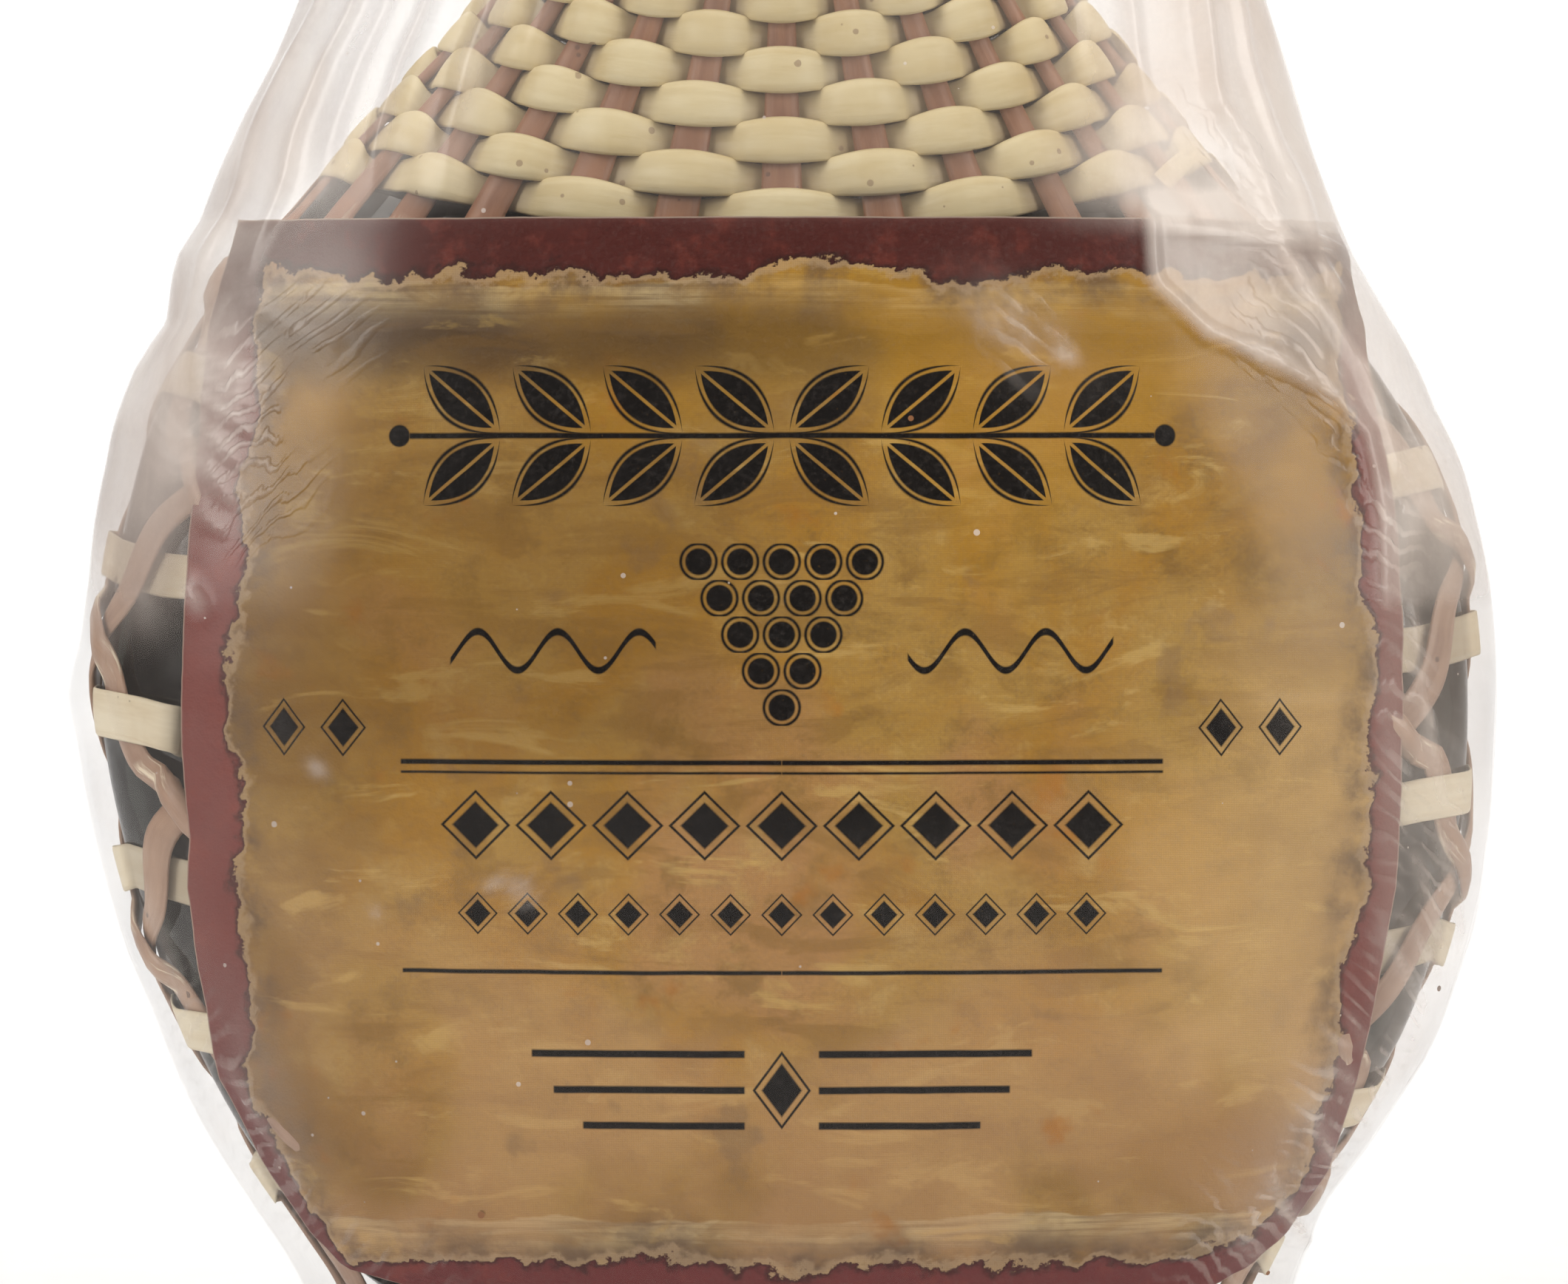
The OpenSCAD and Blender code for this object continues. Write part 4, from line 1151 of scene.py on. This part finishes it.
def grid_piece(name, spots, values, thickness=0.25):
    """A closed sheet: a grid of outer points with values, its inner side a thickness in, and the rim."""
    rows, columns = spots.shape[:2]
    count = rows * columns
    faces = [*grid_faces(rows, columns), *(grid_faces(rows, columns, flip=True) + count)]
    loop = [*range(columns), *range(2 * columns - 1, count, columns),
            *range(count - 2, count - columns - 1, -1), *range(count - 2 * columns, 0, -columns)]
    faces += [(b, a, a + count, b + count) for a, b in zip(loop, loop[1:] + loop[:1])]
    values = {key: np.concatenate([value.reshape(count, -1)] * 2).squeeze() for key, value in values.items()}
    both = np.stack([spots, spots - across_sheet(spots) * thickness]).reshape(-1, 3)
    return faced_out(mesh_piece(name, both, faces, values))


print("a sheet of 2 by 2 points has", len(grid_faces(2, 2)) * 2 + 4, "faces")

# %% [markdown]
# ## The label's outline
# The label is one sheet of paper with a straight top and round lower corners. It lies on the nodes
# of the lattice just under the film. Its left and right edges are given by their distance from the
# middle at a few heights, and each row of the grid runs from one edge to the other.

# %% Label sheet
LABEL_LOW, LABEL_HIGH, LABEL_T, UNDER_FILM = 17.6, 170.6, 0.15, 0.65
# Where the parchment panel ends: from the right edge, from the top edge, and its own lower edge
RIGHT_MARGIN, TOP_MARGIN, PANEL_LOW = 5.5, 7.5, 28.5
EDGE_Z = [17.6, 18.5, 20, 23.5, 26.7, 31, 39.3, 52.6, 66, 79, 86, 98.5, 112, 132, 149, 157, 170.6]
LEFT_X = [
    -4, -16, -28, -47, -60.8, -65.5, -71.2, -78.1, -80.3, -82, -81.6, -82.6, -82.6, -81.3, -79.8, -79.2,
    -75.3,
]
RIGHT_X = [6, 22, 38, 58, 65, 70.5, 76.2, 79.9, 82.6, 84.8, 85.1, 85.5, 85.7, 84.7, 81.5, 80.5, 78.6]


def label_grid(columns, rows):
    """Angles and heights of the label's grid points."""
    z = np.linspace(LABEL_LOW, LABEL_HIGH, rows)[:, None]
    wide = film_size(z)[0]
    left, right = (np.arccos(np.clip(np.interp(z, EDGE_Z, xs) / monotone(z, LEAN_Z, leans) / wide, -1, 1))
                   for xs, leans in ((LEFT_X, LEAN_LEFT), (RIGHT_X, LEAN_RIGHT)))
    angle = -(left + (right - left) * np.linspace(0, 1, columns)[None, :])
    return angle, np.broadcast_to(z, angle.shape)


def label_relief(angle, z):
    """Bumps of the lattice under the paper, as a height over the plain sheet."""
    way = angle * 60
    bumps = 0.34 * sine_noise(301, way, z, longest=30.0) + 0.22 * sine_noise(302, way, z, longest=13.0)
    relief = np.clip(bumps, -0.5, 0.4)
    return np.where(relief < 0, relief * smoothstep(35, 75, z), relief)


def sheet_place(spots):
    """Distances along the sheet's rows in millimetres, from its left edge and from its middle."""
    steps = np.linalg.norm(np.diff(spots, axis=1), axis=-1)
    across = np.concatenate([np.zeros((len(spots), 1)), np.cumsum(steps, axis=1)], 1)
    middle = np.array([np.interp(0, row_x, row) for row_x, row in zip(spots[..., 0], across)])
    return across, across - middle[:, None]


angle, z = label_grid(214, 190)
spots = lean(film_spot(angle, z, -UNDER_FILM))
spots = spots + label_relief(angle, z)[..., None] * out_of_sheet(spots)
from_left, sheet_u = sheet_place(spots)
from_right, from_top = from_left[:, -1:] - from_left, LABEL_HIGH - z
edge = np.minimum(np.minimum(from_left, from_right), from_top)
left_margin = np.interp(z, [32, 50, 80], [3.5, 5.5, 8.5])
panel = np.minimum(from_left - left_margin, from_right - RIGHT_MARGIN)
panel = np.minimum(panel, np.minimum(from_top - TOP_MARGIN, z - PANEL_LOW))
panel = panel + (2.3 * sine_noise(303, sheet_u, z, waves=12, longest=34.0, octave=1.7)
                 + 0.8 * sine_noise(304, sheet_u, z, longest=9.0))
values = {"sheet_u": sheet_u, "sheet_z": z, "edge": edge, "panel": panel}
label = grid_piece("paper_front_label", spots, values, thickness=LABEL_T)
print("label:", len(label.data.polygons), "faces,", round(float(from_left.max()), 1), "mm round the curve")

# %% [markdown]
# ## The label's print
# The sheet is printed maroon, with a panel like old parchment torn round its edge. The parchment is
# golden with darker blotches and a fine printed screen. Its ornaments are drawn by the material:
# a branch of leaves, a bunch of grapes, waves, lozenges and rules. Each is a few distances made
# from two coordinates along the sheet in millimetres, so they stay sharp at any size.

# %% Parchment
# Height on the sheet and radius of the two rolled edges, top and bottom
ROLLS = [(161.8, 3.4), (35.4, 2.8)]
# Broad tones, the last of them a painted highlight on the right of the sheet: where each sets in
# across the sheet, its four heights, its strength and its colour
TONES_AND_HIGHLIGHT = [
    ((38.0, 5.0), (88.0, 104.0, 132.0, 156.0), 0.5, (0.17, 0.085, 0.02)),
    ((45.0, 15.0), (145.0, 151.0, 156.0, 162.0), 0.55, (0.07, 0.042, 0.02)),
    # A lighter patch on the right of the sheet, painted as a highlight.
    ((66.0, 88.0), (45.0, 60.0, 100.0, 125.0), 0.4, (0.85, 0.58, 0.27)),
]
# How far the phase of the printed screen runs per millimetre, in radians
SCREEN_RATE = 12.7


def mapped(tree, place, **values):
    """A place moved, turned or scaled."""
    return add(tree, "ShaderNodeMapping", {"Vector": place, **values}).outputs[0]


def layered(tree, base, *layers):
    """The base with each colour laid over it by its mask."""
    for mask, colour in layers:
        base = mixed(tree, mask, base, colour)
    return base


PARCHMENT, g_in, g_out = new_group(
    "Parchment", [("Vector", VECTOR, None), ("Panel", FLOAT, 5)], [("Color", COLOUR), ("Height", FLOAT)])
tree, place, inward = PARCHMENT, g_in["Vector"], g_in["Panel"]
sheet_x, level = add(tree, "ShaderNodeSeparateXYZ", {0: place}).outputs[:2]
big, mid = noise(tree, place, 0.035, 4.0, 0.6, 0.6), noise(tree, place, 0.1, 5.0, 0.65)
tiny, other = noise(tree, place, 1.6, 3.0), mapped(tree, place, Location=(310, 40, 7))
warm, amber = noise(tree, other, 0.028, 3.0), noise(tree, other, 0.06, 4.0, 0.6)
base = layered(
    tree, (0.45, 0.27, 0.065),
    (ramp(tree, big, 0.42, 0.62), (0.42, 0.215, 0.028)),
    (ramp(tree, warm, 0.52, 0.66, 0.0, 0.8), (0.47, 0.25, 0.1)),
    (ramp(tree, mid, 0.5, 0.68, 0.0, 0.6), (0.22, 0.125, 0.03)),
    (ramp(tree, mid, 0.46, 0.3, 0.0, 0.5), (0.56, 0.38, 0.13)),
    (ramp(tree, tiny, 0.3, 0.7, 0.0, 0.18), (0.2, 0.13, 0.07)),
    (times(tree, ramp(tree, inward, 30.0, 3.0), ramp(tree, big, 0.35, 0.6, 0.25, 0.75)), (0.2, 0.11, 0.035)))
high = maths(tree, "MULTIPLY_ADD", big, 7.0, level)
streak = noise(tree, mapped(tree, place, Scale=(0.05, 1.1, 1.0)), 1.0, 4.0)
for middle, radius in ROLLS:
    across = maths(tree, "DIVIDE", maths(tree, "SUBTRACT", high, middle), radius)
    shadow = times(tree, ramp(tree, across, -3.2, -1.0), ramp(tree, across, 0.9, 0.0), 0.85)
    lit = layered(tree, (0.15, 0.1, 0.06), (ramp(tree, across, -0.9, 0.5), (0.55, 0.42, 0.22)),
                  (ramp(tree, streak, 0.42, 0.66, 0.0, 0.75), (0.19, 0.13, 0.07)))
    tube = times(tree, ramp(tree, across, -1.05, -0.9), ramp(tree, across, 1.05, 0.9))
    base = layered(tree, base, (shadow, (0.07, 0.045, 0.03)), (tube, lit))
brushed = mapped(tree, other, Rotation=(0, 0, 0.25), Scale=(0.05, 0.16, 1.0))
brush = noise(tree, brushed, 1.0, 5.0, 0.6, 0.8)
base = layered(
    tree, base,
    (ramp(tree, brush, 0.5, 0.62, 0.0, 0.55), (0.26, 0.14, 0.035)),
    (ramp(tree, brush, 0.44, 0.34, 0.0, 0.6), (0.62, 0.42, 0.14)),
    (times(tree, ramp(tree, warm, 0.42, 0.58), ramp(tree, level, 105.0, 145.0, 0.0, 0.6)),
     (0.5, 0.26, 0.015)),
    (times(tree, ramp(tree, warm, 0.62, 0.42), ramp(tree, level, 95.0, 55.0, 0.0, 0.5)), (0.56, 0.33, 0.17)),
    (ramp(tree, amber, 0.62, 0.72, 0.0, 0.6), (0.42, 0.15, 0.015)),
    (ramp(tree, amber, 0.38, 0.3, 0.0, 0.5), (0.24, 0.15, 0.08)))
drift = maths(tree, "MULTIPLY_ADD", big, 50.0, sheet_x)
# The last tone laid here is a painted highlight.
for (far_u, near_u), (low, full, less, none), strength, colour in TONES_AND_HIGHLIGHT:
    reach = times(tree, ramp(tree, level, low, full), ramp(tree, level, none, less),
                  ramp(tree, drift, far_u, near_u, 0.0, strength))
    base = mixed(tree, reach, base, colour)
slants = [add(tree, "ShaderNodeVectorMath", {0: place, 1: (SCREEN_RATE, rate, 0.0)}, operation="DOT_PRODUCT")
          for rate in (SCREEN_RATE, -SCREEN_RATE)]
dots = times(tree, *(maths(tree, "SINE", slant.outputs["Value"]) for slant in slants))
base = layered(
    tree, base,
    (times(tree, ramp(tree, inward, 7.0, 0.8), ramp(tree, mid, 0.38, 0.62), 0.75), (0.13, 0.085, 0.06)),
    (times(tree, ramp(tree, inward, 1.5, 0.5), 0.5), (0.5, 0.36, 0.22)),
    (ramp(tree, dots, -0.3, 0.5, 0.0, 0.25), (0.16, 0.08, 0.02)))
fill(tree, g_out["Color"], base)
fill(tree, g_out["Height"], mid)
print("group for parchment:", len(tree.nodes), "nodes")

# %% Tools for ornaments
ORNAMENT, g_in, g_out = new_group("Ornament", [("U", FLOAT, 0), ("Z", FLOAT, 0)], [("Ink", FLOAT)])
u, v = g_in["U"], g_in["Z"]


def calc(operation, *values):
    return maths(ORNAMENT, operation, *values)


def every(*masks):
    return times(ORNAMENT, *masks)


def either(*masks):
    total = masks[0]
    for mask in masks[1:]:
        total = calc("MAXIMUM", total, mask)
    return total


def below(value, limit, soft_edge=0.12):
    """One where the value is under the limit, with an edge as soft as printing ink."""
    return ramp(ORNAMENT, value, limit + soft_edge, limit - soft_edge, kind="LINEAR")


def over(value, limit, soft_edge=0.12):
    return below(value, limit, -soft_edge)


def far(value, middle):
    return calc("ABSOLUTE", calc("SUBTRACT", value, middle))


def span(value, middle, half):
    return below(far(value, middle), half)


def distance(a, b):
    return calc("SQRT", calc("ADD", calc("POWER", a, 2.0), calc("POWER", b, 2.0)))


def lozenges(middle, period, half_u, half_v, reach, ring):
    """A row of lozenges, each with a thin line round it: ring is the gap inside that line."""
    folded = calc("PINGPONG", u, period / 2)
    size = calc("ADD", calc("DIVIDE", folded, half_u), calc("DIVIDE", far(v, middle), half_v))
    outline = every(below(size, 1.16, 0.03), over(size, 1.04, 0.03))
    return every(either(below(size, 1.0 - ring, 0.05), outline), span(u, 0, reach))


def rule(middle, thick, reach, start=0.0):
    return every(span(v, middle, thick), span(u, 0, reach), over(far(u, 0), start))


def rotated(u_part, v_part, degrees):
    """Two coordinates turned by an angle."""
    c, s = math.cos(math.radians(degrees)), math.sin(math.radians(degrees))
    along = calc("MULTIPLY_ADD", u_part, c, calc("MULTIPLY", v_part, s))
    return along, calc("MULTIPLY_ADD", u_part, -s, calc("MULTIPLY", v_part, c))


def blade(along, across, length, width):
    """A leaf pointed at both ends: its size value is one at the outline and grows outward."""
    narrow = calc("SUBTRACT", 1.0, calc("POWER", calc("DIVIDE", along, length), 2.0))
    half = calc("MULTIPLY", calc("MAXIMUM", narrow, 0.0001), width)
    return calc("DIVIDE", calc("ABSOLUTE", across), half)


# %% Branch, grapes, waves, lozenges and rules
BRANCH_Z, BRANCH_P, BRANCH_REACH, BUD_R = 141.0, 12.4, 51.0, 1.5
side_u = calc("ABSOLUTE", u)
leaf_u = calc("SUBTRACT", calc("WRAP", side_u, 0.0, BRANCH_P), BRANCH_P / 2)
leaf_v = far(v, BRANCH_Z)
along, across = rotated(calc("SUBTRACT", leaf_u, 0.2), calc("SUBTRACT", leaf_v, 4.9), 40)
inner, outer = blade(along, across, 6.0, 2.8), blade(along, across, 7.0, 3.6)
leaf = every(below(inner, 1.0, 0.05), over(calc("ABSOLUTE", across), 0.22, 0.06))
leaf_line = every(below(outer, 1.0, 0.04), over(outer, 0.86, 0.04))
leaves = every(either(leaf, leaf_line), span(u, 0, BRANCH_REACH - 1.5))
stem = every(below(leaf_v, 0.4), span(u, 0, BRANCH_REACH))
bud = below(distance(calc("SUBTRACT", side_u, BRANCH_REACH + 1.4), leaf_v), BUD_R)

GRAPE_TOP, GRAPE_P, GRAPE_ROW, GRAPE_ROWS = 126.5, 5.6, 4.9, 5
down = calc("SUBTRACT", GRAPE_TOP, v)
row = calc("FLOOR", calc("DIVIDE", down, GRAPE_ROW))
odd = calc("MULTIPLY", calc("FRACT", calc("MULTIPLY", row, 0.5)), GRAPE_P)
cell_u = calc("WRAP", calc("ADD", u, odd), GRAPE_P / 2, -GRAPE_P / 2)
cell_v = calc("SUBTRACT", calc("SUBTRACT", down, calc("MULTIPLY", row, GRAPE_ROW)), GRAPE_ROW / 2)
half_row = calc("MULTIPLY_ADD", row, -GRAPE_P / 2, GRAPE_P * 2.3)
in_bunch = every(calc("LESS_THAN", far(u, cell_u), half_row), calc("GREATER_THAN", row, -0.5),
                 calc("LESS_THAN", row, GRAPE_ROWS - 0.5))
berry = distance(cell_u, cell_v)
cluster = every(either(below(berry, 1.8), every(below(berry, 2.6), over(berry, 2.2))), in_bunch)

WAVE_Z, WAVE_LENGTH, WAVE_HEIGHT = 112.0, 11.0, 2.6
swing = calc("MULTIPLY", calc("SINE", calc("MULTIPLY", u, 2 * math.pi / WAVE_LENGTH)), WAVE_HEIGHT)
waves = every(below(far(calc("SUBTRACT", v, WAVE_Z), swing), 0.5), span(u, 0, 45), over(far(u, 0), 17.0))
ink = either(
    leaves, stem, bud, cluster, waves,
    lozenges(88.5, 10.4, 4.2, 4.1, 47, 0.22), lozenges(76.5, 6.9, 2.4, 2.5, 45, 0.25),
    lozenges(52.6, 400, 3.4, 4.6, 5, 0.2),
    every(lozenges(101.5, 8.6, 2.8, 3.4, 73, 0.22), over(side_u, 56.0)),
    rule(97.0, 0.35, 52), rule(95.6, 0.18, 52), rule(68.6, 0.3, 52),
    rule(57.5, 0.5, 34, 5), rule(52.6, 0.5, 31, 5), rule(47.7, 0.5, 27, 5))
fill(ORNAMENT, g_out["Ink"], ink)
print("group for ornaments:", len(ORNAMENT.nodes), "nodes")

# %% Label material
material, tree, shader = new_material("printed_label_paper", (0.45, 0.3, 0.13), 0.6, Specular_IOR_Level=0.12)
u, v = attribute(tree, "sheet_u"), attribute(tree, "sheet_z")
place = add(tree, "ShaderNodeCombineXYZ", {0: u, 1: v, 2: 0.0}).outputs[0]
ragged = ramp(tree, noise(tree, place, 0.5, 6.0, 0.7), 0.3, 0.7, -0.8, 0.8, kind="LINEAR")
inward = maths(tree, "ADD", attribute(tree, "panel"), ragged)
paper = group(tree, PARCHMENT, {"Vector": place, "Panel": inward}).outputs
printed = group(tree, ORNAMENT, {"U": u, "Z": v}).outputs[0]
worn, flecks = noise(tree, place, 0.16, 5.0, 0.7), noise(tree, place, 2.5, 4.0)
base = layered(
    tree, (0.08, 0.018, 0.014),
    (ramp(tree, v, 160, 150), (0.2, 0.05, 0.042)),
    (ramp(tree, v, 80, 40), (0.15, 0.035, 0.035)),
    (ramp(tree, worn, 0.5, 0.72, 0.0, 0.3), (0.3, 0.07, 0.045)),
    (times(tree, ramp(tree, inward, -1.3, -0.1), 0.75), (0.03, 0.012, 0.01)),
    (ramp(tree, inward, -0.12, 0.12, kind="LINEAR"), paper["Color"]),
    (times(tree, printed, ramp(tree, flecks, 0.28, 0.36, 0.85, 0.995)), (0.004, 0.003, 0.003)),
    (times(tree, ramp(tree, attribute(tree, "edge"), 0.3, 0.05), 0.5), (0.6, 0.5, 0.4)))
fill(tree, shader["Base Color"], base)
fill(tree, shader["Normal"], bump(tree, paper["Height"], 0.7, 0.0012))
settle(label, material, "front_label")
print("label material nodes:", len(tree.nodes))

# %% [markdown]
# ## The clear film
# Old shrink film is clear where it touches what it covers, and milky where it doesn't. It also shines
# at its creases, by its gloss and by milk painted along them as a highlight. So its material is a thin
# mix: mostly transparent, pale and matt by the cloud value that the mesh carries, and glossy by the
# angle of view. The milk is painted darker on the left as shade. It isn't refracted, because a thin
# film doesn't bend what lies behind it. Light then passes to the paper with almost no loss.

# %% Film material
CREASE_PITCH = 0.0027
CLEAR_FILM = bpy.data.materials.new("old_clear_film")
CLEAR_FILM.use_nodes = True
CLEAR_FILM.diffuse_color = (0.9, 0.9, 0.92, 0.3)
tree = CLEAR_FILM.node_tree
tree.nodes.remove(tree.nodes["Principled BSDF"])
place = object_place(tree)
x, _, z = add(tree, "ShaderNodeSeparateXYZ", {0: place}).outputs
smear = mapped(tree, place, Rotation=(0.0, 0.35, 0.0), Scale=(1.0, 1.0, 0.15))
streaks, patches = noise(tree, smear, 110.0, 4.0, 0.5, 0.6), noise(tree, place, 38.0, 4.0, 0.5, 1.2)
veil = times(tree, attribute(tree, "haze_and_sheen"), ramp(tree, streaks, 0.3, 0.7, 0.8, 1.1, kind="LINEAR"),
             ramp(tree, patches, 0.3, 0.6, 0.8, 1.0))
veil = maths(tree, "ADD", veil, ramp(tree, noise(tree, place, 1500.0), 0.45, 0.75, 0.0, 0.02))
slant = maths(tree, "MULTIPLY_ADD", maths(tree, "ABSOLUTE", x), 0.62, times(tree, z, 0.78))
bent = maths(tree, "MULTIPLY_ADD", patches, 0.014, slant)
line = ramp(tree, maths(tree, "SINE", times(tree, bent, 2 * math.pi / CREASE_PITCH)), 0.1, 1.0)
crease = times(tree, line, ramp(tree, streaks, 0.42, 0.6), attribute(tree, "crumple"))
# Along the fine creases the milk is a painted highlight, while the same creases bump the gloss.
milky = maths(tree, "MINIMUM", maths(tree, "MULTIPLY_ADD", crease, 0.3, veil), 0.9)
dust = group(tree, SPECKS, {"Vector": place, "Spacing": 420.0, "Size": 0.2, "Share": 0.05}).outputs[0]
crumbs = group(tree, SPECKS, {"Vector": place, "Spacing": 120.0, "Size": 0.07, "Share": 0.1}).outputs[0]
milky = maths(tree, "MAXIMUM", milky, maths(tree, "MAXIMUM", times(tree, dust, 0.6), crumbs))
# The milk is painted darker on the left of the film and lighter on the right, as painted shade; the paler
# patches and dust crumbs are its own colour.
tint = layered(
    tree, (0.57, 0.49, 0.45),
    (ramp(tree, x, -0.05, 0.05), (0.78, 0.675, 0.6)),
    (ramp(tree, patches, 0.4, 0.65, 0.0, 0.4), (0.95, 0.9, 0.85)),
    (crumbs, (0.25, 0.1, 0.03)))
milk = add(tree, "ShaderNodeBsdfPrincipled", {"Base Color": tint, "Roughness": 0.6}).outputs[0]
clear = add(tree, "ShaderNodeBsdfTransparent", {"Color": (0.985, 0.985, 0.985, 1)}).outputs[0]
body = add(tree, "ShaderNodeMixShader", {0: milky, 1: clear, 2: milk}).outputs[0]
normal = bump(tree, maths(tree, "MULTIPLY_ADD", streaks, 0.1, crease), 0.6, 0.0006)
gloss = add(tree, "ShaderNodeBsdfGlossy", {"Color": (1, 1, 1, 1), "Roughness": 0.2,
                                           "Normal": normal}).outputs[0]
sheen = add(tree, "ShaderNodeFresnel", {"IOR": 1.33, "Normal": normal}).outputs[0]
skin = add(tree, "ShaderNodeMixShader", {0: sheen, 1: body, 2: gloss}).outputs[0]
passing = add(tree, "ShaderNodeLightPath").outputs["Is Shadow Ray"]
inner_face = add(tree, "ShaderNodeNewGeometry").outputs["Backfacing"]
bare = maths(tree, "MAXIMUM", passing, inner_face)
once = add(tree, "ShaderNodeMixShader", {0: bare, 1: skin, 2: clear}).outputs[0]
fill(tree, tree.nodes["Material Output"].inputs["Surface"], once)
print("film material nodes:", len(tree.nodes))

# %% Film halves
# Share of the rows used up to each height, so that the creased part has the closest rows
ROW_PLAN = ([0, 0.06, 0.84, 1], [FILM_LOW_Z, 22.0, 174.0, FILM_TOP_Z])
NARROW_RIDGES = [(*ends, FINEST, height) for *ends, _, height in RIDGES]


def film_half(name, node, start, columns, rows, crowd=0.0):
    """Half of the film, from one side seam to the other; crowd brings its columns closer to the seams."""
    t = np.linspace(0, 1, columns)
    angle = start + np.pi * (t + crowd * np.sin(4 * np.pi * t) / (4 * np.pi))[None, :]
    angle, z = np.broadcast_arrays(angle, np.interp(np.linspace(0, 1, rows), *ROW_PLAN)[:, None])
    spots = film_spot(angle, z, 0.25)
    x, front, normal = spots[..., 0], on_front(angle), out_of_sheet(spots)
    normal[:, 0], normal[:, -1] = (np.cos(start), 0, 0), (-np.cos(start), 0, 0)
    relief = film_relief(angle, z) * smoothstep(FILM_LOW_Z, 12, z) * smoothstep(FILM_TOP_Z, FILM_TOP_Z - 6, z)
    # Along the creases the film is milkier where it is folded double, and this milk is also a painted
    # highlight.
    haze_and_sheen = np.clip(cloud(angle, z) + front * 0.35 * strokes(x, z, NARROW_RIDGES), 0, 1)
    crumple = front * np.clip(strokes(x, z, CRUMPLED), 0, 1)
    piece = grid_piece(name, lean(spots + relief[..., None] * normal), {"haze_and_sheen": haze_and_sheen, "crumple": crumple})
    return settle(piece, CLEAR_FILM, node)


film_front = film_half("clear_film_front", "film_front", np.pi, 240, 205, 0.35)
film_back = film_half("clear_film_back", "film_back", 0.0, 150, 130)
print("film faces:", len(film_front.data.polygons), len(film_back.data.polygons))

# %% [markdown]
# ## Floor, light and camera
# The picture is a studio product shot: a pale floor and background with no horizon, big soft lights
# from both sides and from above, and a long lens in front. The floor is one wide sheet that rises
# behind the bottle, and its back is clear, so that the bottle can be looked at from behind. The
# camera aims at the belly, because the picture leaves out the neck and foot.

# %% Floor
# In metres: half width of the sheet, its front edge, where it starts to rise, the bend and its top
FLOOR_HALF_W, FLOOR_FRONT, BEND_Y, BEND_R, FLOOR_TOP = 3.0, -0.6, 0.9, 0.6, 3.0


def floor_sweep():
    turns = np.linspace(0.1, math.pi / 2, 14)
    bend = [(BEND_Y + BEND_R * math.sin(t), BEND_R - BEND_R * math.cos(t)) for t in turns]
    run = [(FLOOR_FRONT, 0), (BEND_Y, 0), *bend, (BEND_Y + BEND_R, FLOOR_TOP)]
    points = np.array([(x, y, z) for y, z in run for x in (-FLOOR_HALF_W, FLOOR_HALF_W)])
    return mesh_piece("studio_floor", points / MM, grid_faces(len(run), 2))


floor = floor_sweep()
if floor.data.polygons[0].normal.z < 0:
    floor.data.flip_normals()
material, tree, shader = new_material("studio_paper", (0.93, 0.93, 0.93), 0.9)
grain = ramp(tree, noise(tree, object_place(tree), 60.0), 0.3, 0.7)
fill(tree, shader["Base Color"], mixed(tree, grain, (0.92, 0.92, 0.925), (0.94, 0.94, 0.94)))
see_through = add(tree, "ShaderNodeMixShader", {
    0: add(tree, "ShaderNodeNewGeometry").outputs["Backfacing"], 1: tree.nodes["Principled BSDF"].outputs[0],
    2: add(tree, "ShaderNodeBsdfTransparent").outputs[0]}).outputs[0]
fill(tree, tree.nodes["Material Output"].inputs["Surface"], see_through)
floor.data.materials.append(material)
floor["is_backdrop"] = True
print("floor faces:", len(floor.data.polygons))

# %% World, lights and camera
WARM, WHITE = (1.0, 0.955, 0.9), (1, 1, 1)
LIGHT_AIM = (0, 0, 0.12)
# name, place, what it points at, width and height, power, colour; places and sizes in metres
SOFTBOXES = [
    ("key_left", (-1.0, -0.75, 0.7), LIGHT_AIM, (0.5, 0.9), 8.8, WARM),
    ("fill_right", (1.0, -0.75, 0.6), LIGHT_AIM, (0.5, 0.9), 7.8, WARM),
    ("top", (0, -0.25, 1.1), LIGHT_AIM, (1.0, 0.5), 4.4, WARM),
    ("backdrop", (0, 0.6, 1.3), (0, 1.5, 0.5), (2.0, 0.6), 17, WHITE),
]
# How bright the surround is for the lens, and how much of it lights the bottle
SURROUND_SEEN, SURROUND_LIGHT = 1.0, 0.12
CAMERA_AIM, CAMERA_DISTANCE, CAMERA_RISE = Vector((0.0003, 0, 0.1123)), 1.1, math.radians(1.5)
SENSOR_MM, PICTURE_WIDTH = 36.0, 0.2181


def aimed(thing, place, aim):
    """A lamp or a camera put at a place and turned to look at another."""
    thing.location = place
    thing.rotation_euler = (Vector(aim) - Vector(place)).to_track_quat("-Z", "Y").to_euler()
    return thing


scene = bpy.context.scene
scene.world = bpy.data.worlds.new("studio")
scene.world.use_nodes = True
tree = scene.world.node_tree
surround = tree.nodes["Background"].inputs
seen = add(tree, "ShaderNodeLightPath").outputs["Is Camera Ray"]
fill(tree, surround[0], (1, 1, 1, 1))
fill(tree, surround[1], maths(tree, "MULTIPLY_ADD", seen, SURROUND_SEEN - SURROUND_LIGHT, SURROUND_LIGHT))

for name, place, aim, size, power, tint in SOFTBOXES:
    light = bpy.data.lights.new(name, "AREA")
    light.shape, light.size, light.size_y = "RECTANGLE", *size
    light.energy, light.color = power, tint
    aimed(placed(name, light), place, aim)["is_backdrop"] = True

lens = bpy.data.cameras.new("product_camera")
back_off = Vector((0, -CAMERA_DISTANCE * math.cos(CAMERA_RISE), CAMERA_DISTANCE * math.sin(CAMERA_RISE)))
scene.camera = aimed(placed("product_camera", lens), CAMERA_AIM + back_off, CAMERA_AIM)
lens.sensor_width, lens.lens = SENSOR_MM, SENSOR_MM * CAMERA_DISTANCE / PICTURE_WIDTH
lens.clip_start, lens.clip_end = 0.05, 20
scene.view_settings.view_transform = "Standard"
print("lights:", len(SOFTBOXES), "lens:", round(lens.lens, 1), "mm")

# %% Measure the finished model
low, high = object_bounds()
print("model box in mm:", [round(v / MM, 1) for v in (*low, *high)])
